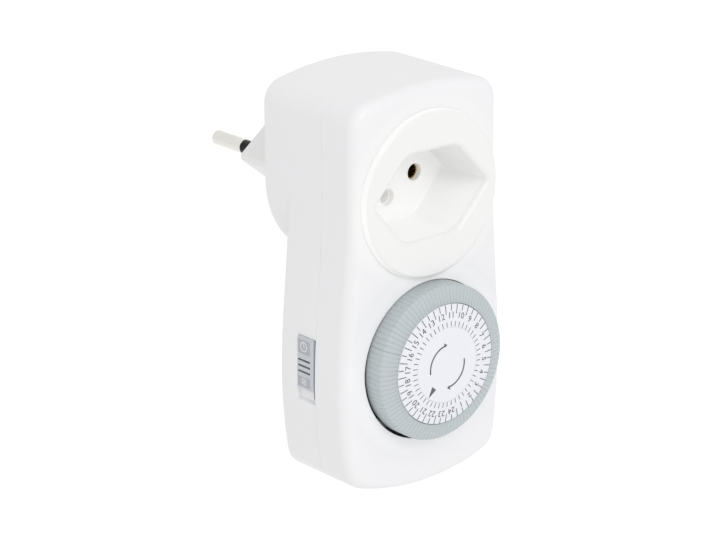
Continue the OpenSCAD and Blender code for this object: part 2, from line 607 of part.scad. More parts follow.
module small_screw(p, head_y, tip_y) {
  difference() {
    rod(p, head_y, head_y + rivet, spacer_r);
    block([p[0] - spacer_r - 1, head_y + 0.6 * rivet, p[1] - 0.15 * spacer_r],
      [p[0] + spacer_r + 1, head_y + rivet + 1, p[1] + 0.15 * spacer_r]);
  }
  rod(p, tip_y, head_y, small_r);
}
ear_t = 0.8;
module movement_screws() color("#b9bcc0") {
  for (p = plate_screws) small_screw(p, plate2_y + plate_t, plate1_y - 3.6);
  for (p = ears) small_screw(p, motor_y + ear_t, plate2_y + 0.1);
}
module motor_plate() color("#a9adb2") difference() {
  slab(motor_y, motor_y + ear_t) {
    translate(arbor0) circle(r = motor_r);
    translate(arbor0 + [-motor_r - ear_out, -ear_out]) square([2 * (motor_r + ear_out), 2 * ear_out]);
    for (p = ears) translate(p) circle(r = ear_out);
  }
  rod(arbor0, motor_y - 1, motor_y + 2, rotor_r + run_clear);
  for (p = ears) rod(p, motor_y - 1, motor_y + 2, small_r + run_clear);
}
motor_end = motor_y + motor_len;
can_t = 0.8;
bobbin_r = 5.8;
magnet_r = 5.2;
wound_r = motor_r - can_t - 0.1;
magnet_y = [motor_y + ear_t + 0.6, motor_end - can_t - 0.6];
module motor_can() color("#b4b8bd") turned(arbor0) polygon([[rotor_r + run_clear, motor_end],
  [motor_r, motor_end], [motor_r, motor_y + ear_t], [motor_r - can_t, motor_y + ear_t],
  [motor_r - can_t, motor_end - can_t], [rotor_r + run_clear, motor_end - can_t]]);
module motor_coil() color("#b4683c") turned(arbor0) polygon([[bobbin_r, motor_y + ear_t],
  [wound_r, motor_y + ear_t], [wound_r, motor_y + ear_t + can_t],
  [wound_r - 0.7, motor_y + ear_t + can_t], [wound_r - 0.7, motor_end - 2 * can_t],
  [wound_r, motor_end - 2 * can_t], [wound_r, motor_end - can_t], [bobbin_r, motor_end - can_t]]);
module rotor() color("#5a5d62") {
  turned(arbor0) polygon([[0, layer_y(1) - 0.15], [rotor_r, layer_y(1) - 0.15], [rotor_r, magnet_y[0]],
    [magnet_r, magnet_y[0]], [magnet_r, magnet_y[1]], [rotor_r, magnet_y[1]], [rotor_r, motor_end], [0, motor_end]]);
  at2(arbor0) slab(layer_y(1) - 0.15, layer_y(1) + layer_t + 0.15) gear(pinion_n, phase0);
}

// ---- switch ----------------------------------------------------------------
sw_top = -recess_half_h - cup_wall;
sw_h = 13.4;
sw_w = 11.5;
sw_y0 = plate1_y + 0.1;
sw_y1 = sw_y0 + 11.3;
sw_wall = 1;
lever_t = 0.9;
lever_y1 = plate1_y - 0.2;
lever_y0 = lever_y1 - lever_t;
lever_drop = 7.8;
lever_at = [7, sw_top - lever_drop];
peg = [-6, sw_top - lever_drop];
module switch_case() color("#3a3c40") difference() {
  union() {
    difference() {
      block([-sw_w, sw_y0, sw_top - sw_h], [sw_w, sw_y1, sw_top]);
      block([-sw_w + sw_wall, sw_y0 + sw_wall, sw_top - sw_h + sw_wall],
        [sw_w - sw_wall, sw_y1 - sw_wall, sw_top - sw_wall]);
      rod(peg, sw_y0 - 1, sw_y0 + 2, 1.6);
    }
    rod(lever_at, lever_y0 - 0.4, sw_y0 + 0.5, 0.8);
  }
  block([poles[0] - 1.6, sw_y1 - 4.2, sw_top - 6.9], [poles[0] + 1.6, sw_y1 + 1, sw_top - 6.1]);
  block([poles[0] - 1.6, sw_y1 - 4.2, sw_top - 10.4], [poles[0] + 1.6, sw_y1 + 1, sw_top - 9.6]);
}
module strap(x0, x1, y_plate, z_top, z_tab, y_tab) {
  block([x0, y_plate, z_tab], [x1, y_plate + strap_t, z_top]);
  block([x0, y_tab, z_tab], [x1, y_plate + 0.1, z_tab + strap_t]);
}
module line_out_strap() color("#c9a44c") difference() {
  strap(poles[0] - strap_w / 2, poles[0] + strap_w / 2, out_plate_y, 0, sw_top - 6.8, sw_y1 - 4);
  rod([poles[0], 0], carrier_y, out_plate_y + strap_t + 1, sleeve_out + 0.02);
}
in_z = -sleeve_out - 0.8;
module line_in_strap() color("#c9a44c") {
  strap(poles[0] - strap_w / 2, poles[0] + strap_w / 2, in_plate_y, in_z, sw_top - 10.3, sw_y1 - 4);
  block([poles[0] - strap_w / 2, in_plate_y + 0.1, in_z - strap_t], [poles[0] + strap_w / 2, pin_in_y, in_z]);
  block([poles[0] - strap_w / 2, pin_in_y - strap_t, in_z - strap_t],
    [poles[0] + strap_w / 2, pin_in_y, -sleeve_out + 0.4]);
}
blade_t = 0.4;
module moving_blade() color("#c9a44c") {
  block([-sw_w + sw_wall + 0.1, sw_y0 + 2.5, sw_top - 9.4 - blade_t], [8, sw_y0 + 5.5, sw_top - 9.4]);
  block([8, sw_y0 + 2.5, sw_top - sw_h + sw_wall], [8 + blade_t, sw_y0 + 5.5, sw_top - 9.4]);
}
module sensing_lever() color("#d0d3d6") difference() {
  union() {
    slab(lever_y0, lever_y1) {
      translate(lever_at) circle(r = 2);
      translate(peg) circle(r = 1.5);
      polygon([lever_at + [0, 1.6], peg + [0, 1.2], peg + [0, -1.2], [-1.8, lever_at[1] - 1.6],
        [-1, lever_at[1] - 5.4], [1, lever_at[1] - 5.4], [2, lever_at[1] - 1.6], lever_at + [0, -1.6]]);
    }
    rod(peg, lever_y0, sw_y0 + 5, 0.8);
  }
  rod(lever_at, lever_y0 - 1, lever_y1 + 1, 0.85);
}

// ---- side switch -----------------------------------------------------------
thumb_x = -half_w(thumb_z1 - thumb_len / 2) - 0.1;
base_t = 1;
base_over = thumb_travel + 0.4;
base_x = -half_w(thumb_z1 + base_over) + wall + 0.15;
rib_z = thumb_z1 - 6.6;
rib_pitch = 1.6;
groove = 0.5;
badge_w = 5.1;
badge_d = 0.25;
arm_t = 1.8;
arm_y1 = plate1_y + plate_t + 3;
arm_z = dial_z + stud_z + spacer_r + thumb_travel + base_t + 0.5;
arm_x = -half_w(arm_z) + wall + 0.5;
module override_slider() color("#bcc2ca") {
  difference() {
    block([thumb_x, part_y + fit_c, thumb_z0], [base_x + 0.1, part_y + fit_c + thumb_w, thumb_z1]);
    // grip grooves, and a shallow field for a mark at each end
    for (i = [0:2]) block([thumb_x - 1, part_y, rib_z - rib_pitch * (i + 0.19)],
      [thumb_x + groove, part_y + thumb_w + 1, rib_z - rib_pitch * (i - 0.19)]);
    for (z = [[thumb_z1 - 4.7, thumb_z1 - 0.9], [thumb_z0 + 0.7, thumb_z0 + 3.3]])
      block([thumb_x - 1, part_y + fit_c + thumb_w - badge_w, z[0]], [thumb_x + badge_d, part_y + thumb_w + 1, z[1]]);
  }
  block([base_x, part_y - 1.2, thumb_z0 - base_over], [base_x + base_t, part_y + thumb_w + 1.4, thumb_z1 + base_over]);
  // arm up to the switch case
  block([base_x, arm_y1 - arm_t, thumb_z1 + 1], [arm_x + base_t, max(arm_y1, part_y + 1), thumb_z1 + base_over]);
  block([arm_x, arm_y1 - arm_t, thumb_z1 + 1], [arm_x + base_t, arm_y1, arm_z]);
  block([arm_x, arm_y1 - arm_t, arm_z - base_t], [-sw_w - 0.6, arm_y1, arm_z]);
}

front_shell();
rear_shell();
socket_insert();
plug_body();
line_pin();
neutral_pin();
earth_pin();
pin_sleeves();
housing_screws();
socket_contacts();
contact_carrier();
line_in_strap();
line_out_strap();
dial_drum();
guide_ring();
number_ring();
centre_disc();
spindle();
drive_pinion();
clutch_spring();
wheel_1();
wheel_2();
wheel_3();
wheel_4();
wheel_5();
front_plate();
rear_plate();
movement_screws();
motor_can();
motor_plate();
motor_coil();
rotor();
switch_case();
moving_blade();
sensing_lever();
override_slider();
hour_tappets(0);  // tappets_h00
hour_tappets(1);  // tappets_h01
hour_tappets(2);  // tappets_h02
hour_tappets(3);  // tappets_h03
hour_tappets(4);  // tappets_h04
hour_tappets(5);  // tappets_h05
hour_tappets(6);  // tappets_h06
hour_tappets(7);  // tappets_h07
hour_tappets(8);  // tappets_h08
hour_tappets(9);  // tappets_h09
hour_tappets(10);  // tappets_h10
hour_tappets(11);  // tappets_h11
hour_tappets(12);  // tappets_h12
hour_tappets(13);  // tappets_h13
hour_tappets(14);  // tappets_h14
hour_tappets(15);  // tappets_h15
hour_tappets(16);  // tappets_h16
hour_tappets(17);  // tappets_h17
hour_tappets(18);  // tappets_h18
hour_tappets(19);  // tappets_h19
hour_tappets(20);  // tappets_h20
hour_tappets(21);  // tappets_h21
hour_tappets(22);  // tappets_h22
hour_tappets(23);  // tappets_h23
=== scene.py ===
# %% [markdown]
# # A plug-in segment timer
# The object is a pale plastic housing that plugs straight into the wall. It has a deep socket recess
# above, a 24 hour dial with 96 push-in tappets below, and a slide switch on its left side. The CAD frame
# brings exact solids, and every body that moves. This lesson gives them soft edges, print and finish.
# %% Load the frame
from math import asin, atan, atan2, cos, hypot, pi, radians, sin, sqrt, tan, tau

import bmesh
import bpy
from mathutils import Matrix, Vector


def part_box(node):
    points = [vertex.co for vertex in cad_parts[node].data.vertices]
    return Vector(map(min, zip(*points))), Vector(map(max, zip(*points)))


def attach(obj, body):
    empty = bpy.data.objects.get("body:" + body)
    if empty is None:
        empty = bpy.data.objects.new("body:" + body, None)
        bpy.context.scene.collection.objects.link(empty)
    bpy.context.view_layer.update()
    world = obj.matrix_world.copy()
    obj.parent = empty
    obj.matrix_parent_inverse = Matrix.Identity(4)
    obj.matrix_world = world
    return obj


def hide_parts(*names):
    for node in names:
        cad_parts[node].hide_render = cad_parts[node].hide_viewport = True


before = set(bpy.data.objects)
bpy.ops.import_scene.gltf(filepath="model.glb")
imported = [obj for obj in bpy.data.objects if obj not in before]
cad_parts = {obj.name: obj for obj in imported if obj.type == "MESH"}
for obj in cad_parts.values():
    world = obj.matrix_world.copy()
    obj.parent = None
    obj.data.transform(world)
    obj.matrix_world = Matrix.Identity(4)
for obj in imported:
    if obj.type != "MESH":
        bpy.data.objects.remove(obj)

MM = 0.001
scene = bpy.context.scene
scene.view_settings.view_transform = "Standard"
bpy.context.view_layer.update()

# %% [markdown]
# ## The camera
# A product shot of something this small is taken from far off with a long lens, so that parallel edges
# stay nearly parallel. The camera stands 0.75 m away, to the left of the front and a little above, and its
# lens is worked out for a picture 716 pixels wide.
# %% Camera
AZIMUTH, ELEVATION, ROLL = -40.301, 18.991, -0.264
AIM, DISTANCE = Vector((-23.917, -37.5, -15.437)), 0.74999
FOCAL_PX, PICTURE_PX, SENSOR = 2958.87, 716, 36


def placed(name, data):
    """A new object that holds the data, linked to the scene."""
    made = bpy.data.objects.new(name, data)
    scene.collection.objects.link(made)
    return made


side, lift, roll = (radians(v) for v in (AZIMUTH, ELEVATION, ROLL))
back = Vector((sin(side) * cos(lift), -cos(side) * cos(lift), sin(lift)))
right = Vector((cos(side), sin(side), 0))
up = back.cross(right)
right, up = (cos(roll) * right + sin(roll) * up, cos(roll) * up - sin(roll) * right)
lens = bpy.data.cameras.new("product_camera")
lens.sensor_width, lens.lens = SENSOR, FOCAL_PX * SENSOR / PICTURE_PX
lens.clip_start, lens.clip_end = 0.05, 20
camera = placed("product_camera", lens)
stand = AIM * MM + back * DISTANCE
camera.matrix_world = Matrix.Translation(stand) @ Matrix((right, up, back)).transposed().to_4x4()
scene.camera = camera
print("camera at", [round(v, 3) for v in stand], "lens", round(lens.lens, 1))

# %% [markdown]
# ## The main sizes
# All lengths in this lesson are in millimetres. The wall is the plane y = 0, the front face looks along -y,
# and the socket axis is z = 0. Several pieces have to meet at these values, so they are named once.
# %% Main sizes
TOP, LOW, DIAL_Z = 29.2, 80.5, -45.0  # the top, the bottom and the dial axis
UPPER, WIDE, WIDE_Z = 24.7, 27.7, -50.0  # half widths above and at the widest place, and its height
FRONT, REAR, PART = -37.5, -9.5, -24.3  # the front face, the lower rear face and the parting line
DISC_Y, LABEL_Y, SHOULDER_Y = FRONT - 1.8, FRONT - 6.8, FRONT - 4.9  # socket disc, numbers, tappet edge
FLOOR_Y = DISC_Y + 18  # the floor of the socket recess
WELL_X, WELL_Z, WELL_R = 0.15, DIAL_Z - 0.47, 21.62  # the round well in which the dial turns
print("housing", 2 * WIDE, "wide,", TOP + LOW, "high,", -FRONT, "deep")

# %% [markdown]
# ## Shader maths as plain expressions
# A moulded surface is never one flat number: its colour, gloss and grain drift a little. Such patterns are
# sums and products of noise, and read best when written so. One small class wraps a socket, its
# operators add Math nodes, and one method adds any other node. It works in geometry trees as well.
# %% A socket that can be added and multiplied
class Field:
    def __init__(self, tree, socket=None):
        self.tree, self.socket = tree, socket

    def add(self, kind, settings=None, sockets=None, out=0):
        """A node of a kind: its settings first, then the values or links of its sockets."""
        made = self.tree.nodes.new(kind)
        for key, value in (settings or {}).items():
            setattr(made, key, value)
        for key, value in (sockets or {}).items():
            if isinstance(value, Field):
                self.tree.links.new(value.socket, made.inputs[key])
            else:
                made.inputs[key].default_value = value
        return Field(self.tree, made.outputs[out])

    def maths(self, operation, a, b=0.0):
        return self.add("ShaderNodeMath", {"operation": operation}, {0: a, 1: b})

    def __add__(self, other):
        return self.maths("ADD", self, other)

    def __sub__(self, other):
        return self.maths("SUBTRACT", self, other)

    def __rsub__(self, other):
        return self.maths("SUBTRACT", other, self)

    def __mul__(self, other):
        return self.maths("MULTIPLY", self, other)

    __radd__, __rmul__ = __add__, __mul__


# %% [markdown]
# ## Moulded plastic
# Housing plastic has a fine spark-eroded grain, which scatters the highlight, and a faint drift in tone
# where the melt flowed. A drift of a few per cent in colour and a bump of a few hundredths of a millimetre
# are enough: more would look like stone. A slow noise gives the drift and a fast one the grain. A plastic
# may also take a rule of painted shade and one of painted light, a glow, each by its place on the object.
# %% How a plastic is made
# The dark tone is painted shade; the pale tone and its strength are painted light, given as emission.
PAINTED_SHADE_TONE, PAINTED_LIGHT_TONE, PAINTED_LIGHT_STRENGTH = (0.03, 0.022, 0.016, 1), (1.0, 0.99, 0.965, 1), 0.19
FLOW_SCALE, GRAIN_SCALE, GRAIN_DEPTH = 34.0, 5200.0, 0.00002


def shades(name):
    """A new empty material, its tree as a Field, and the place on the object."""
    made = bpy.data.materials.new(name)
    made.use_nodes = True
    made.node_tree.nodes.clear()
    root = Field(made.node_tree)
    return made, root, root.add("ShaderNodeTexCoord", out="Object")


def noise(root, where, scale, detail):
    return root.add("ShaderNodeTexNoise", {}, {"Vector": where, "Scale": scale, "Detail": detail})


def mixed(root, share, low, high):
    """The low colour where share is 0, the high one where it is 1."""
    return root.add("ShaderNodeMix", {"data_type": "RGBA"}, {0: share, 6: low, 7: high}, out=2)


def finish_material(root, values, bump, strength, depth):
    values["Normal"] = root.add("ShaderNodeBump", {},
                                {"Strength": strength, "Distance": depth, "Height": bump})
    surface = root.add("ShaderNodeBsdfPrincipled", {}, values)
    end = root.tree.nodes.new("ShaderNodeOutputMaterial")
    root.tree.links.new(surface.socket, end.inputs["Surface"])


def plastic(name, colour, rough, grain, drift=0.03, shade=None, glow=None, ior=1.5):
    """shade and glow are rules for painted shade and painted light; each takes the place (x, y, z) and gives
    a share from 0 to 1.
    """
    made, root, where = shades(name)
    flow, fine = noise(root, where, FLOW_SCALE, 3.0), noise(root, where, GRAIN_SCALE, 2.0)
    tone = mixed(root, flow, (*[c * (1 - drift) for c in colour], 1), (*colour, 1))
    place = [root.add("ShaderNodeSeparateXYZ", {}, {"Vector": where}, out=axis) for axis in "XYZ"]
    # Painted shade: the colour goes toward the dark tone where the shade rule says.
    if shade is not None:
        tone = mixed(root, shade(*place), tone, PAINTED_SHADE_TONE)
    values = {"Base Color": tone, "Roughness": rough + (flow - 0.5) * 0.12 + (fine - 0.5) * 0.05, "IOR": ior}
    # Painted light: an emission where the glow rule says.
    if glow is not None:
        values["Emission Color"] = mixed(root, glow(*place), (0, 0, 0, 1), PAINTED_LIGHT_TONE)
        values["Emission Strength"] = PAINTED_LIGHT_STRENGTH
    finish_material(root, values, fine, grain, GRAIN_DEPTH)
    return made


# %% [markdown]
# Pale walls throw light on each other, most of all in the recess, where the lower walls face the light from
# above, and the dial and the disc throw light on the face beside them: this light is painted in as a glow.
# The well round the dial is the other way about: light that goes in doesn't come out, so its wall gets
# painted shade. Each rule is a product of ramps along y, along z, or outward from an axis.
# %% Rules for painted shade and painted light
# How strong the painted light is beside the dial, the disc and the disc's seat, and how far it reaches.
NEAR_DIAL, NEAR_DISC, NEAR_SEAT, REACH = 0.6, 0.22, 0.6, 27  # shares of the glow, and how far out it goes


def ramp(value, start, end):
    """0 up to start, 1 from end on, and even in between."""
    return value.add("ShaderNodeMapRange", {}, {"Value": value, "From Min": start * MM, "From Max": end * MM})


def distance(x, z, centre_x, centre_z):
    across, along = x - centre_x * MM, z - centre_z * MM
    return x.maths("SQRT", across * across + along * along)


def in_the_well(x, y, z):
    """Painted shade on the wall of the well, up to its end inside the front shell."""
    near = 1 - ramp(distance(x, z, WELL_X, WELL_Z), WELL_R + 0.03, WELL_R + 0.1)
    return near * ramp(y, FRONT + 0.1, FRONT + 0.9) * (1 - ramp(y, FRONT + 8.5, FRONT + 9.5))


def beside_the_rings(x, y, z):
    """Painted light on the front face close to the dial and, more weakly, close to the disc."""
    dial, disc = distance(x, z, WELL_X, WELL_Z), distance(x, z, 0, 0)
    near = NEAR_DIAL * ramp(dial, WELL_R + 0.1, WELL_R + 0.2) * (1 - ramp(dial, 21.8, REACH))
    return (near + NEAR_DISC * (1 - ramp(disc, 22.5, REACH))) * (1 - ramp(y, FRONT + 1.5, FRONT + 2.5))


def in_the_recess(x, y, z):
    """Painted light on the recess walls, most on the lower ones, the floor, and the rim of the disc in its
    seat.
    """
    lower = 0.42 + 0.58 * (1 - ramp(z, -4, 4))
    floor = ramp(y, FLOOR_Y - 0.6, FLOOR_Y - 0.1)
    walls = ramp(y, DISC_Y + 0.2, DISC_Y + 2.2) * (lower + (1 - lower) * floor)
    return walls + NEAR_SEAT * ramp(distance(x, z, 0, 0), 22.0, 22.45)


# %% [markdown]
# All the plastics come from one function. They differ in colour, in how rough they are, in grain and in
# drift. The number ring is a little bluer than the housing, and the tappets are a grey green. The sleeves
# of the pins are a dense black with a low index of refraction, which keeps them from turning grey.
# %% Plastics
# The housing plastic carries painted shade in the dial well and painted light beside the dial and the disc.
housing_white = plastic("housing_plastic_painted_shade_and_light", (0.715, 0.715, 0.725), 0.42, 0.10, shade=in_the_well,
                        glow=beside_the_rings)
socket_white = plastic("socket_plastic", (0.72, 0.72, 0.715), 0.36, 0.05)
# The recess plastic is the socket plastic with painted light added as a glow.
recess_white_painted_light = plastic("recess_plastic_painted_light", (0.72, 0.72, 0.715), 0.36, 0.05, glow=in_the_recess)
tappet_grey = plastic("tappet_plastic", (0.425, 0.468, 0.483), 0.42, 0.06, 0.05)
label_white = plastic("dial_face_plastic", (0.675, 0.685, 0.725), 0.38, 0.03, 0.02)
print_grey = plastic("print_ink", (0.09, 0.095, 0.115), 0.5, 0.02, 0.08)
thumb_grey = plastic("thumb_plastic", (0.47, 0.49, 0.525), 0.42, 0.08, 0.05)
badge_grey = plastic("badge_plastic", (0.37, 0.38, 0.405), 0.5, 0.08, 0.06)
sign_grey = plastic("sign_ink", (0.60, 0.62, 0.66), 0.45, 0.03, 0.03)
groove_painted_shade = plastic("groove_shade", (0.10, 0.11, 0.11), 0.6, 0.05, 0.06)
inner_grey = plastic("drum_plastic", (0.34, 0.35, 0.36), 0.5, 0.08, 0.06)
carrier_tan = plastic("carrier_resin", (0.30, 0.21, 0.11), 0.6, 0.1, 0.1)
black_plastic = plastic("black_plastic", (0.002, 0.002, 0.003), 0.24, 0.06, 0.2, ior=1.3)
print("materials with those of the CAD:", len(bpy.data.materials))

# %% [markdown]
# ## Metals
# Turned pins carry fine rings round their axis, sheet brass and steel carry the rolling direction, and all
# of them show slight handling haze. Stretched noise gives both: the coordinates are squeezed along one
# axis with a Mapping node before the noise reads them.
# %% Metals
BRUSH_DEPTH, HAZE_SCALE, WORN = 0.00001, 260.0, 0.86


def metal(name, colour, rough, lines=(40.0, 6000.0, 40.0), strength=0.25):
    """lines is how many brush marks there are to a metre along x, y and z."""
    made, root, where = shades(name)
    run = root.add("ShaderNodeMapping", {}, {"Vector": where, "Scale": lines})
    brush, haze = noise(root, run, 1.0, 2.0), noise(root, where, HAZE_SCALE, 3.0)
    tone = mixed(root, haze, (*[c * WORN for c in colour], 1), (*colour, 1))
    values = {"Base Color": tone, "Metallic": 1.0,
              "Roughness": rough + (haze - 0.5) * 0.2 + (brush - 0.5) * 0.1}
    finish_material(root, values, brush, strength, BRUSH_DEPTH)
    return made


nickel = metal("nickel_plate", (0.80, 0.78, 0.74), 0.2)
brass = metal("sheet_brass", (0.80, 0.58, 0.25), 0.28, (5000.0, 60.0, 60.0))
wheel_brass = metal("wheel_brass", (0.78, 0.60, 0.30), 0.3, (900.0, 900.0, 900.0))
steel = metal("turned_steel", (0.58, 0.59, 0.61), 0.3)
sheet_steel = metal("rolled_steel_sheet", (0.66, 0.67, 0.69), 0.34, (5000.0, 60.0, 60.0))
copper = metal("enamelled_copper", (0.62, 0.26, 0.11), 0.32, (60.0, 7000.0, 60.0), 0.6)
magnet = metal("magnet_ferrite", (0.12, 0.12, 0.13), 0.55, (400.0, 400.0, 400.0))
print("materials with the metals:", len(bpy.data.materials))

# %% [markdown]
# ## Small mesh helpers
# Most pieces are either turned (a profile swept round an axis), lofted (rings of points joined in order),
# or cut out of each other. Each helper works in millimetres, puts the place into the mesh itself and lets
# the shading break only at real edges.
# %% Lofted and turned meshes
def arc(cx, cz, r, a0, a1, n):
    """n points of an arc from a0 up to, but without, a1."""
    return [(cx + r * cos(a0 + (a1 - a0) * i / n), cz + r * sin(a0 + (a1 - a0) * i / n)) for i in range(n)]


def quarter(r, turns):
    """How far in, and how far back, the points of a rounded edge of radius r lie."""
    return [(r * (1 - cos(t)), r * (1 - sin(t))) for t in turns]


def mesh_of(verts, faces):
    """A closed mesh from points, merged, with its faces turned outward."""
    mesh = bpy.data.meshes.new("shape")
    mesh.from_pydata([tuple(c * MM for c in v) for v in verts], [], faces)
    work = bmesh.new()
    work.from_mesh(mesh)
    bmesh.ops.remove_doubles(work, verts=work.verts, dist=1e-7)
    bmesh.ops.recalc_face_normals(work, faces=work.faces)
    work.to_mesh(mesh)
    work.free()
    return mesh


def loft(rings):
    """Rings with as many points each, joined in order and closed at both ends."""
    n = len(rings[0])
    faces = [list(range(n))[::-1], [(len(rings) - 1) * n + i for i in range(n)]]
    for j in range(len(rings) - 1):
        for i in range(n):
            a, b = j * n + i, j * n + (i + 1) % n
            faces.append((a, b, b + n, a + n))
    return mesh_of([p for r in rings for p in r], faces)


def turned(profile, x=0.0, z=0.0, steps=128):
    """A profile of (radius, y) turned about an axis along y. It closes where its ends touch the axis."""
    verts, rows = [], []
    for r, y in profile:
        rows.append(len(verts))
        around = arc(x, z, r, 0, tau, steps)
        verts += [(px, y, pz) for px, pz in (around if r else around[:1])]

    def at(row, i):
        return rows[row] + (i % steps if profile[row][0] else 0)

    faces = []
    for a in range(len(profile)):
        b = (a + 1) % len(profile)
        for i in range(steps):
            face = list(dict.fromkeys((at(a, i), at(a, i + 1), at(b, i + 1), at(b, i))))
            if len(face) > 2:
                faces.append(face)
    return mesh_of(verts, faces)


def prism(outline, y0, y1):
    return loft([[(x, y, z) for x, z in outline] for y in (y0, y1)])


def at_each(places, profile, steps):
    """The same turned shape at several places (x, z)."""
    return [turned(profile, x, z, steps) for x, z in places]


def rods(places, r, y0, y1, steps):
    return at_each(places, [(0, y0), (r, y0), (r, y1), (0, y1)], steps)


def block(low, high):
    (x0, y0, z0), (x1, y1, z1) = low, high
    return prism([(x0, z0), (x1, z0), (x1, z1), (x0, z1)], y0, y1)


# %% [markdown]
# The next helpers cut, add and round. Each puts a modifier on a work object, takes the evaluated mesh and
# removes the object, so that only a plain mesh is left. The last one makes a finished piece: it gives the
# mesh its material and shading, the body it rides on, and the nodes that it stands for.
# %% Cut, add, round and finish
def evaluated(work):
    """The plain mesh of a work object after its modifiers. The object is removed."""
    graph = bpy.context.evaluated_depsgraph_get()
    mesh = bpy.data.meshes.new_from_object(work.evaluated_get(graph), depsgraph=graph)
    bpy.data.objects.remove(work)
    return mesh


def combined(operation, mesh, others):
    base, tools = placed("work", mesh), [placed("tool", other) for other in others]
    for tool in tools:
        step = base.modifiers.new("step", "BOOLEAN")
        step.operation, step.solver, step.object = operation, "MANIFOLD", tool
    result = evaluated(base)
    for tool in tools:
        bpy.data.objects.remove(tool)
    return result


def cut(mesh, *others):
    return combined("DIFFERENCE", mesh, others)


def united(mesh, *others):
    return combined("UNION", mesh, others)


def softened(mesh, width, segments=3, angle=30):
    """Rounds every edge that is sharper than the angle."""
    base = placed("work", mesh)
    soft = base.modifiers.new("soft", "BEVEL")
    soft.width, soft.segments = width * MM, segments
    soft.limit_method, soft.angle_limit = "ANGLE", radians(angle)
    return evaluated(base)


def joined(meshes):
    work = bmesh.new()
    for mesh in meshes:
        work.from_mesh(mesh)
    result = bpy.data.meshes.new("joined")
    work.to_mesh(result)
    work.free()
    return result


def finished(name, mesh, material, body, slot, *nodes, sharp=32):
    mesh.materials.clear()
    mesh.materials.append(material)
    mesh.polygons.foreach_set("use_smooth", [True] * len(mesh.polygons))
    mesh.set_sharp_from_angle(angle=radians(sharp))
    piece = placed(name, mesh)
    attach(piece, body)
    if nodes:
        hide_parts(*nodes)
    print(name, len(mesh.polygons), "faces")


# %% [markdown]
# ## The outline of the housing
# Seen from the front, the housing is straight beside the socket, swells round the dial and draws in again
# to an arched end, with round corners. One rule gives the half width at each height, and corner arcs join
# it to the arched top and bottom. Moving the whole line inward by a distance gives the next ring of a
# rounded edge, so the same rule makes the skin, its rounded edges and its hollow.
# %% Arches and corners
CORNER, TOP_FALL, LOW_RISE, TAPER, CROWN, WALL = 6.4, 2.3, 2.9, 1.5, 1.33, 2.0
END, ARC, SIDE, STRAIGHT = 16, 18, 44, 12  # points on half an arched end, a corner, the side below and above
LOW_COUNT = END + ARC + SIDE


def sag(amount, x):
    """The fall of an arch that has fallen by an amount at 20 mm from its middle."""
    return amount * (x / 20) ** 2


def slope(amount, x):
    return atan(2 * amount * x / 400)


def half_width(z):
    if z > WIDE_Z:
        t = min(1, max(0, z / WIDE_Z))
        return UPPER + (WIDE - UPPER) * t * t * (3 - 2 * t)
    return WIDE - sag(TAPER, z - WIDE_Z)


def crown(x):
    """How far the front face falls back: next to nothing in its middle, then smoothly toward its sides."""
    t = (x / 25) ** 8
    return CROWN * t / (1 + 0.5 * t)


top_cx = UPPER - CORNER
top_tilt = slope(TOP_FALL, top_cx + 0.2 * CORNER)
top_cz = TOP - sag(TOP_FALL, top_cx + CORNER * sin(top_tilt)) - CORNER * cos(top_tilt)
low_x = half_width(-LOW + CORNER + LOW_RISE) - CORNER
low_tilt = slope(LOW_RISE, low_x + 0.25 * CORNER)
low_cz = -LOW + sag(LOW_RISE, low_x + CORNER * sin(low_tilt)) + CORNER * cos(low_tilt)
side_tilt = slope(TAPER, WIDE_Z - low_cz)
low_cx = half_width(low_cz) - CORNER / cos(side_tilt)
print("corner centres", round(top_cx, 2), round(top_cz, 2), "and", round(low_cx, 2), round(low_cz, 2))

# %% [markdown]
# Half a line runs from the middle of the bottom to the middle of the top, always with the same number of
# points, so any two lines can be joined ring to ring. The boss behind the socket has the same top and a
# half round lower end. Beside the wall, its points lie level with those of the wall.
# %% Lines moved inward
def upper_half(d, w):
    r = CORNER - d
    tx = top_cx + r * sin(top_tilt)
    return ([(w, top_cz * i / STRAIGHT) for i in range(STRAIGHT)]
            + arc(top_cx, top_cz, r, 0, pi / 2 - top_tilt, ARC)
            + [(tx * (END - i) / END, TOP - d - sag(TOP_FALL, tx * (END - i) / END)) for i in range(END + 1)])


def half_line(d):
    """Half of the outline, moved inward by d."""
    r = CORNER - d
    lx = low_cx + r * sin(low_tilt)
    side_z = low_cz - r * sin(side_tilt)
    return ([(lx * i / END, -LOW + d + sag(LOW_RISE, lx * i / END)) for i in range(END)]
            + arc(low_cx, low_cz, r, low_tilt - pi / 2, -side_tilt, ARC)
            + [(half_width(side_z * (1 - i / SIDE)) - d, side_z * (1 - i / SIDE)) for i in range(SIDE)]
            + upper_half(d, UPPER - d))


def boss_line(d):
    heights = [z for _, z in half_line(0)[:LOW_COUNT]]
    level = next(i for i, z in enumerate(heights) if z > -0.9 * UPPER)
    start = asin(heights[level] / UPPER)
    turns = ([-pi / 2 + (start + pi / 2) * i / level for i in range(level)]
             + [asin(z / UPPER) for z in heights[level:]])
    return [((UPPER - d) * cos(t), (UPPER - d) * sin(t)) for t in turns] + upper_half(d, UPPER - d)


def whole(half):
    """Both halves of a line: the half, and its mirror image from its end back to its start."""
    return half + [(-p[0], *p[1:]) for p in half[-2:0:-1]]


def ring(half, y, crowned=0.0):
    return [(x, y + crowned * crown(x), z) for x, z in whole(half)]


print("points in a ring:", len(whole(half_line(0))))

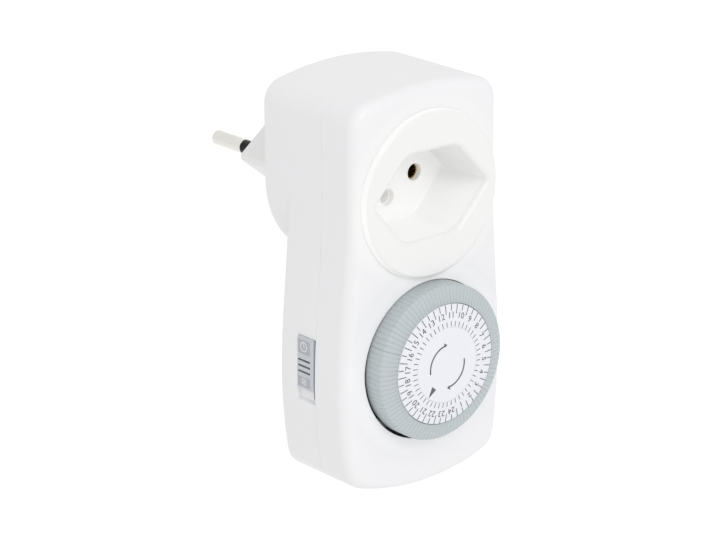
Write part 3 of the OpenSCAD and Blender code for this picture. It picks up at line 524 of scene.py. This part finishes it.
# %% [markdown]
# ## The front shell
# The front face is slightly crowned, so light rolls over it, and its edge is a 3 mm round. The skin is a
# loft of rings: first the crowned face from its middle outward, then the round, then the side wall with a
# tiny chamfer at the parting line, which is what makes the seam show.
# %% Front skin
ROUND_F, SEAM, EDGE_RINGS = 3.0, 0.14, 14
FACE_SHARES = [0.05, 0.15, 0.25, 0.35, 0.45, 0.55, 0.64, 0.71, 0.77, 0.82, 0.86, 0.9, 0.94, 0.97]


def toward_middle(line, share):
    """A line shrunk toward a stroke up the middle of the face."""
    mids = [min(max(z, -LOW + 26), TOP - 25) for _, z in line]
    return [(x * share, m + (z - m) * share) for (x, z), m in zip(line, mids)]


face_rings = [ring(toward_middle(half_line(ROUND_F), share), FRONT, 1.0) for share in FACE_SHARES]
edge = quarter(ROUND_F, [pi / 2 * (1 - i / EDGE_RINGS) for i in range(EDGE_RINGS + 1)])
front_skin = loft(face_rings + [ring(half_line(inward), FRONT + behind, 1.0) for inward, behind in edge]
                  + [ring(half_line(0), PART - 2), ring(half_line(0), PART - SEAM)]
                  + [ring(half_line(SEAM), PART)])
print("front skin:", len(front_skin.polygons), "faces")

# %% [markdown]
# The shell is hollow, but the wall of the dial well and four screw posts stay. The well and the seat of
# the socket disc are cut with bores whose mouths flare by a fraction of a millimetre, which leaves a
# rounded rim. The mouths follow the crown, so the rim is even all round. The well is slightly tighter than
# the CAD's and a hair off its axis, so the gap round the tappets is narrow above and wider below.
# %% Front shell
MOUTH = [radians(10 * k) for k in range(9)]
CASE_SCREWS = [(-19, 21), (19, 21), (-20, -LOW + 7.6), (20, -LOW + 7.6)]
INNER_Y, WELL_WALL_R, POST_R = FRONT + 2.4, 23.4, 3  # the inner face, the wall of the well, the screw posts


def six(point, flat, half_h):
    """A six-sided outline with a point at each side."""
    return [(point, 0), (flat, half_h), (-flat, half_h), (-point, 0), (-flat, -half_h), (flat, -half_h)]


def bore(r, flare, y_mouth, y_floor, x, z, steps, past):
    """A round cutter from a floor to a mouth that opens with a quarter round, and on past it."""
    way = 1 if y_floor > y_mouth else -1
    lip = [(r + outward, y_mouth + way * behind) for outward, behind in quarter(flare, MOUTH)]
    y_end = y_mouth - way * past
    return turned([(0, y_floor), (r, y_floor)] + lip + [(lip[-1][0], y_end), (0, y_end)], x, z, steps)


def face_bore(r, flare, depth, x, z):
    mesh = bore(r, flare, FRONT, FRONT + depth, x, z, 160, 6)
    for v in mesh.vertices:
        if v.co.y < (FRONT + flare + 0.01) * MM:
            v.co.y += crown(v.co.x / MM) * MM
    return mesh


hollow = united(prism(whole(half_line(ROUND_F + 0.3)), INNER_Y, PART + 1),
                prism(whole(half_line(WALL)), INNER_Y + 1.8, PART + 1.02))
hollow = cut(hollow, *rods([(0, DIAL_Z)], WELL_WALL_R, INNER_Y - 1, FRONT + 6.4, 128),
             *rods(CASE_SCREWS, POST_R, INNER_Y - 1, PART + 2, 32))
front_mesh = cut(front_skin, hollow, face_bore(WELL_R, 0.12, 8, WELL_X, WELL_Z),
                 face_bore(22.52, 0.04, 1.2, 0, 0), prism(six(21.05, 10.2, 13.3), FRONT - 1, FRONT + 4))
finished("front_shell_moulded", front_mesh, housing_white, "housing", "housing", "front_shell")

# %% [markdown]
# ## The rear shell
# Behind the socket the rear shell is deeper than behind the dial, so it steps in to a boss with a half
# round lower end. The upper walls run straight on to the boss, and only the points below the socket axis
# step in, so the rings share their points and move them by different rules above and below.
# %% Rear skin
ROUND_R, STEPS = 2.0, 10


def boss_gap(x, z):
    """How far a point of the wall moves in to reach the boss. Below the boss, nothing holds it back."""
    return 0.9 * (x - sqrt(UPPER ** 2 - z * z)) if z > -UPPER else 99


def step_ring(k, inward, behind):
    plain, y_up = half_line(0), REAR - ROUND_R + (ROUND_R - 0.3) * k / STEPS
    low = [(max(mx, x - boss_gap(x, z)), REAR - behind, mz)
           for (mx, mz), (x, z) in zip(half_line(inward)[:LOW_COUNT], plain)]
    return whole(low + [(x, y_up, z) for x, z in plain[LOW_COUNT:]])


edge = quarter(ROUND_R, [pi / 2 * k / STEPS for k in range(STEPS + 1)])
rear_skin = loft([ring(half_line(SEAM), PART), ring(half_line(0), PART + SEAM), ring(half_line(0), PART + 3)]
                 + [step_ring(k, *point) for k, point in enumerate(edge)] + [ring(boss_line(0), REAR)]
                 + [ring(boss_line(inward), -behind) for inward, behind in edge])
print("rear skin:", len(rear_skin.polygons), "faces")

# %% [markdown]
# Four wells take the housing screws, and a six-sided hole takes the plug body. On the left side, the slot
# of the switch is a hair larger than its thumb plate. Beside the plate the parting gap is open, and below
# it lies a shallow seat, whose floor rises and whose sides open like a scoop, for the plate to slide over.
# %% Rear shell
THUMB_Y0, THUMB_Y1, THUMB_Z0, THUMB_Z1 = PART + 0.62, PART + 6.9, DIAL_Z - 7.0, DIAL_Z + 7.5
TRAVEL, SLIP, OUTSIDE = 3.0, 0.08, -28.4
POST_OUT, WELL_BORE, STEM_R = 3.6, 2.7, 1.6  # the screw posts, the wells for the heads, the screws' own holes


def blunt(point, flat, half_h, tip):
    """A six-sided outline whose two points are cut off flat."""
    return [(point, tip), (flat, half_h), (-flat, half_h), (-point, tip), (-point, -tip), (-flat, -half_h),
            (flat, -half_h), (point, -tip)]


def seat_ring(x, wider):
    """One ring of the seat, with its lower and its rear side moved outward."""
    low, high, edge = THUMB_Z0 - TRAVEL - wider, THUMB_Z0 + 0.5, THUMB_Y1 + SLIP + wider
    return [(x, PART - 1, low), (x, edge, low), (x, edge, high), (x, PART - 1, high)]


rear_hollow = cut(united(prism(whole(half_line(WALL)), PART - 1, REAR - WALL),
                         prism(whole(boss_line(WALL)), REAR - WALL - 1, -WALL)),
                  *rods(CASE_SCREWS, POST_OUT, PART - 2, 1, 48))
wells = [bore(WELL_BORE, 0.4, y_face, PART + 2, x, z, 64, 3)
         for (x, z), y_face in zip(CASE_SCREWS, (0, 0, REAR, REAR))]
stems = rods(CASE_SCREWS, STEM_R, PART - 1, PART + 3, 32)
slot = block((OUTSIDE, PART - 1, THUMB_Z0 + SLIP), (-19.7, THUMB_Y1 + SLIP, THUMB_Z1 + SLIP))
gap = united(block((OUTSIDE, PART - 1, THUMB_Z0 - TRAVEL), (-25.0, PART + 0.52, THUMB_Z1 + SLIP)),
             block((OUTSIDE, PART - 1.1, THUMB_Z0 - TRAVEL + 0.5), (-24.9, PART + 1.5, THUMB_Z0 + 0.4)))
seat = loft([seat_ring(-29.0, 1.9), seat_ring(-27.4, 0.35), seat_ring(-26.7, 0.0)])
rear_mesh = cut(rear_skin, rear_hollow, *wells, *stems,
                prism(blunt(16.3, 6.7, 8.6, 0.8), -WALL - 1, 1), slot, gap, seat)
finished("rear_shell_moulded", rear_mesh, housing_white, "housing", "housing", "rear_shell")

# %% [markdown]
# ## The socket insert
# The insert is a disc that stands proud of the face, with a deep hexagonal recess that guides a plug. The
# recess is moulded with soft corners, a rolled lip and a rounded floor. A Bevel modifier would round the
# corners and the lip alike, so the rounded six-sided line is drawn instead: moving the same arc centres
# outward or inward gives each ring of the lip and of the floor, and keeps the corners true.
# %% A polygon with round corners
def round_polygon(corners, radii, grow, steps=8):
    """Corners in turn (counter-clockwise), each rounded by its radius, then all moved outward by grow."""
    edges = []
    for a, b in zip(corners, corners[1:] + corners[:1]):
        run = (Vector(b) - Vector(a)).normalized()
        edges.append((Vector(a), run, Vector((run.y, -run.x))))
    points = []
    for i, radius in enumerate(radii):
        (a0, r0, n0), (a1, r1, n1) = edges[i - 1], edges[i]
        p0, p1 = a0 - n0 * radius, a1 - n1 * radius
        t = ((p1 - p0).x * r1.y - (p1 - p0).y * r1.x) / (r0.x * r1.y - r0.y * r1.x)
        centre = p0 + r0 * t
        a, b = atan2(n0.y, n0.x), atan2(n1.y, n1.x)
        while b < a:
            b += tau
        for turn in (a + (b - a) * k / steps for k in range(steps + 1)):
            points.append((centre.x + (radius + grow) * cos(turn), centre.y + (radius + grow) * sin(turn)))
    return points


RECESS, SOFT = six(19.25, 8.6, 11.6), [1.2, 5.5, 5.5, 1.2, 5.5, 5.5]
LIP, FILLET = 1.6, 0.9


def recess_ring(grow, y):
    return [(x, y, z) for x, z in round_polygon(RECESS, SOFT, grow)]


lip, fillet = quarter(LIP, MOUTH), quarter(FILLET, [radians(15 * k) for k in range(6, -1, -1)])
recess_tool = loft([recess_ring(-inward, FLOOR_Y - behind) for inward, behind in fillet]
                   + [recess_ring(outward, DISC_Y + behind) for outward, behind in lip]
                   + [recess_ring(lip[-1][0], DISC_Y - 3)])
print("recess:", len(recess_tool.polygons), "faces")

# %% [markdown]
# Behind the disc, a cup holds the recess and two hooks hold the insert. The three pin holes have a rounded
# mouth. The earth hole looks pale inside, so a thin pale sleeve lines its brass contact.
# %% Socket insert
DISC_R, SEAT_Y, RIM = 22.5, FRONT + 1.2, 1.3
HOLES = [(-9.5, 0), (9.5, 0), (0, -5)]
rim = quarter(RIM, [pi / 16 * k for k in range(9)])
disc = turned([(0, DISC_Y)] + [(DISC_R - inward, DISC_Y + behind) for behind, inward in rim]
              + [(DISC_R, SEAT_Y), (0, SEAT_Y)], steps=192)
cup = prism(round_polygon(six(20.85, 10.0, 13.2), [2.0] * 6, 0), DISC_Y + 1.5, FLOOR_Y + 1.8)
hooks = [block((-3, INNER_Y + 0.1, z0), (3, INNER_Y + 1.6, z1)) for z0, z1 in ((12, 14.2), (-14.2, -12))]
pin_holes = at_each(HOLES, [(0, FLOOR_Y + 3), (2.3, FLOOR_Y + 3), (2.3, FLOOR_Y + 0.25),
                            (2.42, FLOOR_Y + 0.07), (2.6, FLOOR_Y - 0.02), (2.6, FLOOR_Y - 1),
                            (0, FLOOR_Y - 1)], 64)
socket_mesh = cut(united(disc, cup, *hooks), recess_tool, *pin_holes)
finished("socket_insert_moulded", socket_mesh, recess_white_painted_light, "housing", "socket", "socket_insert")
# The plating takes the recess plastic, and with it the same painted light.
plating = turned([(2.3, FLOOR_Y + 1.82), (2.3, FLOOR_Y + 1.9), (2.045, FLOOR_Y + 2.1), (2.045, FLOOR_Y + 7),
                  (2.02, FLOOR_Y + 7), (2.02, FLOOR_Y + 1.85)], *HOLES[2], 48)
finished("earth_contact_plating", plating, recess_white_painted_light, "housing", "socket")

# %% [markdown]
# ## The plug body
# The plug body is a plain six-sided block whose long edges are only slightly softened, so a Bevel modifier
# on the drawn shape does it. The pins come through it, so they are cut out again.
# %% Plug body
plug = united(prism(blunt(16.2, 6.6, 8.5, 0.8), -2.5, 20), prism(blunt(17.6, 7.4, 9.9, 1.2), -4, -2))
pin_tools = at_each(HOLES, [(0, -6), (2.7, -6), (2.7, -0.5), (1.8, -0.5), (1.8, 21), (0, 21)], 48)
finished("plug_body_moulded", cut(softened(plug, 0.45), *pin_tools), socket_white, "housing", "socket",
         "plug_body")

# %% [markdown]
# The two power pins have a black sleeve next to the plug body, so that a half drawn plug shows no live
# metal. Beyond the sleeve, the bare shank has the full thickness of the pin.
# %% Pin sleeves and bare shanks
SLEEVE_Y, BARE_Y, PIN_Y, PIN_R, CORE_R = 20.15, 26.4, 29.79, 2.0, 1.53
sleeves = at_each(HOLES[:2], [(CORE_R, SLEEVE_Y), (PIN_R, SLEEVE_Y), (PIN_R, BARE_Y - 0.06),
                              (PIN_R - 0.06, BARE_Y), (CORE_R, BARE_Y)], 64)
shanks = at_each(HOLES[:2], [(CORE_R, BARE_Y + 0.02), (PIN_R - 0.05, BARE_Y + 0.02), (PIN_R, BARE_Y + 0.07),
                             (PIN_R, PIN_Y), (CORE_R, PIN_Y)], 64)
finished("pin_sleeves_moulded", joined(sleeves), black_plastic, "housing", "black_plastic", "pin_sleeves")
finished("pin_shanks", joined(shanks), nickel, "housing", "pin_metal")

# %% [markdown]
# ## Geometry Nodes for what repeats
# A dial is a pattern: 96 tappets, 48 outer and 48 inner strokes. Each pattern is a small node tree with
# named inputs, so the same tree serves every group. The tree sets points round a circle from their index,
# puts a shape on each, makes the copies real and gives them their material.
# %% A tree and the mesh it grows
DEGREE = pi / 180


def xyz(root, **parts):
    return root.add("ShaderNodeCombineXYZ", {}, parts)


def new_rule(name, inputs):
    """A tree with named inputs, the identifiers of its inputs, and the fields that they give."""
    tree, keys = bpy.data.node_groups.new(name, "GeometryNodeTree"), {}
    for label, kind in inputs.items():
        made = tree.interface.new_socket(label, in_out="INPUT", socket_type="NodeSocket" + kind)
        keys[label] = made.identifier
    tree.interface.new_socket("Geometry", in_out="OUTPUT", socket_type="NodeSocketGeometry")
    start = tree.nodes.new("NodeGroupInput")
    return tree, keys, {label: Field(tree, start.outputs[label]) for label in inputs}


def close_rule(tree, given, shape, place, turn, scale=(1, 1, 1)):
    """Copies of a shape, each put at its place and turned about y."""
    root = Field(tree)
    line = root.add("GeometryNodeMeshLine", {}, {"Count": given["Count"], "Offset": (0, 0, 0)})
    points = root.add("GeometryNodeSetPosition", {}, {"Geometry": line, "Position": place})
    angle = xyz(root, Y=0.0 - turn)
    copies = root.add("GeometryNodeInstanceOnPoints", {},
                      {"Points": points, "Instance": shape, "Rotation": angle, "Scale": scale})
    real = root.add("GeometryNodeRealizeInstances", {}, {"Geometry": copies})
    coated = root.add("GeometryNodeSetMaterial", {}, {"Geometry": real, "Material": given["Material"]})
    end = tree.nodes.new("NodeGroupOutput")
    tree.links.new(coated.socket, end.inputs[0])


def grown(tree, keys, values):
    """The mesh that a tree makes from the values of its inputs."""
    host = placed("host", bpy.data.meshes.new("host"))
    rule = host.modifiers.new("rule", "NODES")
    rule.node_group = tree
    for label, value in values.items():
        rule[keys[label]] = value
    return evaluated(host)


# %% [markdown]
# ## The tappets
# Each tappet stands for a quarter of an hour, so it is a wedge of 3.75 degrees, with a sloped head, a skirt
# round its rim and a tail in the guide ring. It is drawn once with its radius along x, and with few faces,
# because it comes 96 times.
# %% One tappet
PITCH, FIRST, TAPPET_GAP = 360 / 96, 8.0, 0.02
HEAD_IN, RING_R, TAPPET_BACK = 16.45, 21.1, FRONT - 0.2
SKIRT_IN, SKIRT_BACK = 20.75, FRONT + 0.6
TAIL_IN, TAIL_OUT, TAIL_HALF, TAIL_END = 17.8, 19.4, 0.36, FRONT + 5.2


def wedge(r):
    return r * tan(radians(PITCH / 2)) - TAPPET_GAP / 2


profile = [(HEAD_IN, LABEL_Y + 0.2), (20.4, SHOULDER_Y - 0.5), (RING_R - 0.25, SHOULDER_Y - 0.25),
           (RING_R, SHOULDER_Y + 0.15), (RING_R, SKIRT_BACK), (SKIRT_IN, SKIRT_BACK),
           (SKIRT_IN, TAPPET_BACK), (HEAD_IN, TAPPET_BACK)]
head = softened(loft([[(r, y, s * wedge(r)) for r, y in profile] for s in (-1, 1)]), 0.03, 1, 40)
tail = block((TAIL_IN, TAPPET_BACK - 0.5, -TAIL_HALF), (TAIL_OUT, TAIL_END, TAIL_HALF))
tappet_source = placed("tappet_source", joined([head, tail]))
print("one tappet:", len(tappet_source.data.polygons), "faces")

# %% [markdown]
# The tree copies the tappet four times for each hour, because the four tappets of an hour share a body and
# so a mesh. Two groups sit a little loose, as real ones do, and a gap shows before them.
# %% Tappets round the dial
LOOSE = {16: 0.14, 3: 0.07}  # the hour, and its gap in degrees
tree, tappet_keys, given = new_rule("tappets_round_a_dial", {
    "Tappet": "Object", "Count": "Int", "First angle": "Float", "Pitch": "Float", "Dial height": "Float",
    "Material": "Material"})
root = Field(tree)
index = root.add("GeometryNodeInputIndex")
turn = (given["First angle"] + given["Pitch"] * (index + 0.5)) * DEGREE
axis = xyz(root, Z=given["Dial height"])
tappet = root.add("GeometryNodeObjectInfo", {"transform_space": "ORIGINAL"}, {"Object": given["Tappet"]},
                  out="Geometry")
close_rule(tree, given, tappet, axis, turn)
for hour in range(24):
    play = LOOSE.get(hour, 0.0)
    mesh = grown(tree, tappet_keys, {"Tappet": tappet_source, "Count": 4, "Pitch": PITCH - play / 4,
                                     "First angle": FIRST - 90 + 15 * hour + play,
                                     "Dial height": DIAL_Z * MM, "Material": tappet_grey})
    body = "tappets_h%02d" % hour
    finished("tappet_group_%02d" % hour, mesh, tappet_grey, body, "tappet", body, sharp=50)
bpy.data.objects.remove(tappet_source)

# %% [markdown]
# ## The number ring and its strokes
# The face of the dial is a pale ring with a rolled outer edge. It rises as a very flat cone to the disc in
# the middle. Its strokes are printed: the outer ones mark every half hour, longer between two numbers and
# shorter at them, and the inner ones mark the half hours again. A print is a film of ink, so the strokes
# are plates a hundredth thick, drawn flat and then laid on the cone.
# %% Number ring
LABEL_R, CENTRE_R, CONE = 16.3, 10.2, 0.72
RING_IN = CENTRE_R + 0.03


def onto_cone(mesh):
    for v in mesh.vertices:
        r = hypot(v.co.x, v.co.z - DIAL_Z * MM) / MM
        v.co.y -= CONE * (LABEL_R - r) / (LABEL_R - RING_IN) * MM
    return mesh


ring_face = turned([(RING_IN, FRONT - 5), (LABEL_R, FRONT - 5), (LABEL_R, LABEL_Y + 0.3),
                    (LABEL_R - 0.09, LABEL_Y + 0.09), (LABEL_R - 0.3, LABEL_Y), (RING_IN, LABEL_Y - CONE)],
                   0, DIAL_Z, 256)
finished("number_ring_face", ring_face, label_white, "dial", "label", "number_ring")

# %% [markdown]
# One tree makes both rings of strokes. A stroke starts at an edge and runs outward or inward from it, and
# every second one has its own length, which the remainder of the index by two picks.
# %% Printed strokes
STROKE_W, FILM, HOUR_12 = 0.2, 0.00002, 98.0
tree, stroke_keys, given = new_rule("strokes_round_a_dial", {
    "Count": "Int", "First angle": "Float", "Edge radius": "Float", "Outward": "Float",
    "Even length": "Float", "Odd length": "Float", "Width": "Float", "Face": "Float",
    "Dial height": "Float", "Material": "Material"})
root = Field(tree)
index = root.add("GeometryNodeInputIndex")
turn = (given["First angle"] + index * 360.0 * root.maths("DIVIDE", 1.0, given["Count"])) * DEGREE
odd = root.maths("MODULO", index, 2.0)
length = given["Even length"] * (1 - odd) + given["Odd length"] * odd
middle = given["Edge radius"] + given["Outward"] * length * 0.5
spot = xyz(root, X=middle * root.maths("COSINE", turn), Y=given["Face"],
           Z=given["Dial height"] + middle * root.maths("SINE", turn))
stroke = root.add("GeometryNodeMeshCube", {}, {"Size": (1, 1, 1)})
size = xyz(root, X=length, Y=FILM, Z=given["Width"])
close_rule(tree, given, stroke, spot, turn, size)
for name, edge_r, outward, even, odd_length in (("outer_strokes", LABEL_R - 0.1, -1.0, 1.55, 2.45),
                                                ("inner_strokes", 10.4, 1.0, 1.35, 1.35)):
    mesh = grown(tree, stroke_keys, {"Count": 48, "First angle": HOUR_12, "Edge radius": edge_r * MM,
                                     "Outward": outward, "Even length": even * MM,
                                     "Odd length": odd_length * MM, "Width": STROKE_W * MM,
                                     "Face": (LABEL_Y - 0.01) * MM, "Dial height": DIAL_Z * MM,
                                     "Material": print_grey})
    finished(name, onto_cone(mesh), print_grey, "dial", "label")

# %% [markdown]
# ## The numbers
# The hours run anticlockwise round the ring, because the dial turns clockwise past a fixed pointer. Each
# number is a text object made into a mesh, turned so that its top points outward.
# %% Numbers
NUMBER_R, NUMBER_H, CAP_SHARE, HOUR_0 = 13.35, 1.62, 0.69, -82


def number_mesh(hour):
    """The number of an hour. A capital takes up 0.69 of the size of the letters."""
    curve = bpy.data.curves.new("number", "FONT")
    curve.body, curve.size = str(hour), NUMBER_H / CAP_SHARE * MM
    curve.align_x, curve.align_y, curve.space_character = "CENTER", "CENTER", 1.05
    curve.resolution_u, curve.extrude = 4, 0.00001
    mesh = evaluated(placed("number", curve))
    turn = radians(15 * hour + HOUR_0)
    spot = Vector((NUMBER_R * cos(turn), LABEL_Y - 0.012, DIAL_Z + NUMBER_R * sin(turn)))
    upright = Matrix.Rotation(radians(90), 4, "X")
    spin = Matrix.Rotation(-(turn - pi / 2), 4, "Y")
    mesh.transform(Matrix.Translation(spot * MM) @ spin @ upright)
    return mesh


numbers = [number_mesh(hour) for hour in range(1, 25)]
finished("hour_numbers", onto_cone(joined(numbers)), print_grey, "dial", "label")

# %% [markdown]
# ## The centre disc
# The disc in the middle is fixed to the spindle. Two arrows show the way to turn the dial, and a wedge
# points at the present time. They are thin plates drawn from a few angles and radii.
# %% Centre disc
DISC_FRONT, ARROW_Z, CENTRE_EDGE = FRONT - 7.57, DIAL_Z - 0.4, 0.08
ARROW_R, ARROW_W, ARROW_STEPS = 5.9, 0.45, 28
POINTER_R, POINTER_TURN = 10.15, 229.4
centre_mesh = turned([(0, DISC_FRONT), (CENTRE_R - CENTRE_EDGE, DISC_FRONT),
                      (CENTRE_R, DISC_FRONT + CENTRE_EDGE), (CENTRE_R, FRONT - 5.3), (0, FRONT - 5.3)],
                     0, DIAL_Z, 192)
finished("centre_disc_face", centre_mesh, label_white, "housing", "label", "centre_disc")


def plate(points, middle=ARROW_Z):
    """A thin plate on the disc from (radius, angle) points in turn."""
    flat = [(r * cos(radians(a)), middle + r * sin(radians(a))) for r, a in points]
    return prism(flat, DISC_FRONT - 0.02, DISC_FRONT + 0.01)


def arrow(start, end):
    """An arc from start to end (degrees, clockwise), with a head past its end."""
    path = [start + (end - start) * i / ARROW_STEPS for i in range(ARROW_STEPS + 1)]
    outer = [(ARROW_R + ARROW_W / 2, a) for a in path]
    inner = [(ARROW_R - ARROW_W / 2, a) for a in reversed(path)]
    head = [(ARROW_R - 0.45, end + 1.5), (ARROW_R + 1.0, end + 4.5), (ARROW_R + 0.1, end - 6.0)]
    return united(plate(outer + inner), plate(head))


pointer = plate([(POINTER_R, POINTER_TURN), (7.1, POINTER_TURN + 7.0), (7.1, POINTER_TURN - 7.0)], DIAL_Z)
finished("turn_arrows", joined([arrow(189, 97), arrow(8, -85), pointer]), print_grey, "housing", "label")

# %% [markdown]
# ## The side switch
# The thumb plate slides in its slot. Three grooves between ribs give grip, and a darker badge at each end
# carries a plain generic sign. The grooves and both badges reach the rear edge of the plate and leave a
# light margin along the parting line. The lower end of the plate is a thin lip, which slides over the seat.
# Behind the plate, the base covers the slot in both positions, and the arm reaches up to the switch.
# %% The sliding piece
slider_low, slider_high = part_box("override_slider")
THUMB_X, ARM_END, ARM_Z = slider_low[0] / MM, slider_high[0] / MM, slider_high[2] / MM
BASE_X, ARM_X, BADGE_W, LIP_X, ARM_Y = -24.833, -23.305, 5.1, 0.9, PART - 2.2
BADGES = {"clock": (THUMB_Z1 - 4.7, THUMB_Z1 - 0.9), "lamp": (THUMB_Z0 + 0.7, THUMB_Z0 + 3.3)}
GROOVES = [THUMB_Z1 - 6.6, THUMB_Z1 - 8.2, THUMB_Z1 - 9.8]


def shallow(z0, z1, depth):
    """A cut into the plate that leaves its margin along the parting line."""
    return block((THUMB_X - 1, THUMB_Y1 - BADGE_W, z0), (THUMB_X + depth, THUMB_Y1 + 1, z1))


thumb = softened(block((THUMB_X, THUMB_Y0, THUMB_Z0), (BASE_X, THUMB_Y1, THUMB_Z1)), 0.28, 4)
thumb = cut(thumb, block((THUMB_X + LIP_X, PART - 1, THUMB_Z0 - 1),
                         (BASE_X + 1, THUMB_Y1 + 1, THUMB_Z0 + TRAVEL + 0.2)))
thumb = cut(thumb, *[shallow(z - 0.29, z + 0.29, 0.5) for z in GROOVES],
            *[shallow(*ends, 0.25) for ends in BADGES.values()])
finished("override_slider_thumb", thumb, thumb_grey, "override_slider", "switch_grey", "override_slider")
base = block((BASE_X, PART - 1.2, THUMB_Z0 - 3.4), (BASE_X + 1, THUMB_Y1 + 1.3, THUMB_Z1 + 3.4))
for other in (block((BASE_X, ARM_Y, THUMB_Z1 + 1), (ARM_X + 1, PART + 1, THUMB_Z1 + 3.4)),
              block((ARM_X, ARM_Y, THUMB_Z1 + 1), (ARM_X + 1, PART - 0.4, ARM_Z)),
              block((ARM_X, ARM_Y, ARM_Z - 1), (ARM_END, PART - 0.4, ARM_Z))):
    base = united(base, other)
finished("override_slider_base", base, socket_white, "override_slider", "switch_grey")

# %% [markdown]
# A darker badge lies in each of the two shallow cuts, and a dark strip of painted shade in each groove,
# where shade gathers. They are thin plates drawn from (y, z) points, because they lie on the left side.
# %% Badges and groove shades
def side_plate(points, x_out, x_in):
    return loft([[(x, y, z) for y, z in points] for x in (x_out, x_in)])


def oblong(margin, z0, z1, edge, x_out, x_in):
    y0, y1 = THUMB_Y1 - BADGE_W + margin, THUMB_Y1 - edge
    return side_plate([(y0, z0), (y1, z0), (y1, z1), (y0, z1)], THUMB_X + x_out, THUMB_X + x_in)


badges = [oblong(0.03, z0 + 0.03, z1 - 0.03, 0.08, 0.06, 0.26) for z0, z1 in BADGES.values()]
strips = [oblong(0.02, z - 0.28, z + 0.28, 0.05, 0.42, 0.51) for z in GROOVES]
finished("mode_badges", joined(badges), badge_grey, "override_slider", "switch_grey")
# The groove strips are painted shade.
finished("groove_shades", joined(strips), groove_painted_shade, "override_slider", "switch_grey")

# %% [markdown]
# The signs stand a few hundredths of a millimetre above their badges: a clock face with two hands for the
# timed setting, and the crossed circle of a lamp for always on. Both are a circle with straight strokes.
# %% Signs
MID_Y, SIGN_OUT, SIGN_IN = THUMB_Y1 - BADGE_W / 2, THUMB_X + 0.02, THUMB_X + 0.12


def stroke_points(cy, cz, turn, a, b, width):
    """A straight stroke from distance a to b along a direction in degrees."""
    (ry, rz), (oy, oz) = ((cos(radians(t)), sin(radians(t))) for t in (turn, turn + 90))
    return [(cy + ry * d + oy * w, cz + rz * d + oz * w)
            for d, w in ((a, -width / 2), (b, -width / 2), (b, width / 2), (a, width / 2))]


def sign(badge, r, line, strokes):
    """A circle with straight strokes in it, in the middle of a badge."""
    cz = sum(BADGES[badge]) / 2
    outer = side_plate(arc(MID_Y, cz, r, 0, tau, 48), SIGN_OUT, SIGN_IN)
    inner = side_plate(arc(MID_Y, cz, r - line, 0, tau, 48), SIGN_OUT - 0.1, SIGN_IN + 0.1)
    bars = [side_plate(stroke_points(MID_Y, cz, *s), SIGN_OUT, SIGN_IN) for s in strokes]
    return united(cut(outer, inner), *bars)


signs = [sign("clock", 1.4, 0.34, [(90, -0.12, 1.2, 0.26), (180, -0.1, 0.6, 0.24)]),
         sign("lamp", 1.05, 0.16, [(45, -0.95, 0.95, 0.3), (135, -0.95, 0.95, 0.3)])]
finished("mode_signs", joined(signs), sign_grey, "override_slider", "switch_grey")

# %% [markdown]
# ## Finishes for the pieces that stay as the CAD made them
# Pins, screws, wheels, plates and contacts are exact already, so they only need their finish. Each node's
# material slot is set to the metal or plastic that the real piece is made of.
# %% Finishes on the CAD nodes
FINISH = {
    nickel: ["line_pin", "neutral_pin", "earth_pin"], black_plastic: ["pin_sleeves", "switch_case"],
    steel: ["housing_screws", "movement_screws", "spindle", "drive_pinion", "clutch_spring", "sensing_lever"],
    sheet_steel: ["front_plate", "rear_plate", "motor_can", "motor_plate"], copper: ["motor_coil"],
    brass: ["socket_contacts", "line_in_strap", "line_out_strap", "moving_blade"], magnet: ["rotor"],
    wheel_brass: ["wheel_%d" % i for i in range(1, 6)], carrier_tan: ["contact_carrier"],
    inner_grey: ["guide_ring"], thumb_grey: ["override_slider"],
    housing_white: ["front_shell", "rear_shell"], socket_white: ["socket_insert", "plug_body"],
    label_white: ["number_ring", "centre_disc"],
    tappet_grey: ["dial_drum"] + ["tappets_h%02d" % h for h in range(24)]}
for finish, names in FINISH.items():
    for name in names:
        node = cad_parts[name]
        node.data.materials.clear()
        node.data.materials.append(finish)
missing = [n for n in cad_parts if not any(n in names for names in FINISH.values())]
print("nodes with no finish:", missing)

# %% [markdown]
# ## Floor and light
# White plastic on white shows only through its shading, so the light has to be soft but not equal from all
# sides. A bright white world fills every side. One panel in front, above and a little to the left adds
# what makes the face the brightest side, and a pale floor throws some light back up.
# %% Floor and lights
FLOOR_Z, FLOOR_HALF = -0.32, 6  # in metres, as all lengths of the stage are
PANEL_AT, PANEL_AIM, PANEL_SIZE, PANEL_POWER = Vector((-0.35, -1.35, 1.05)), Vector((0, 0, -0.03)), 0.75, 8.1
floor_mesh = bpy.data.meshes.new("floor")
corners = [(-1, -1), (1, -1), (1, 1), (-1, 1)]
floor_mesh.from_pydata([(x * FLOOR_HALF, y * FLOOR_HALF, FLOOR_Z) for x, y in corners], [], [(0, 1, 2, 3)])
floor_white = bpy.data.materials.new("floor_white")
floor_white.use_nodes = True
floor_shader = floor_white.node_tree.nodes["Principled BSDF"]
floor_shader.inputs["Base Color"].default_value = (0.99, 0.99, 0.99, 1)
floor_shader.inputs["Roughness"].default_value = 0.9
floor_mesh.materials.append(floor_white)
placed("floor", floor_mesh)

world = bpy.data.worlds.new("studio")
scene.world = world
world.use_nodes = True
world.node_tree.nodes["Background"].inputs["Color"].default_value = (1, 1, 1, 1)
world.node_tree.nodes["Background"].inputs["Strength"].default_value = 1.0

light = bpy.data.lights.new("front_panel", "AREA")
light.shape, light.size, light.energy = "SQUARE", PANEL_SIZE, PANEL_POWER
panel = placed("front_panel", light)
panel.location, panel.rotation_mode = PANEL_AT, "QUATERNION"
panel.rotation_quaternion = (PANEL_AT - PANEL_AIM).to_track_quat("Z", "Y")
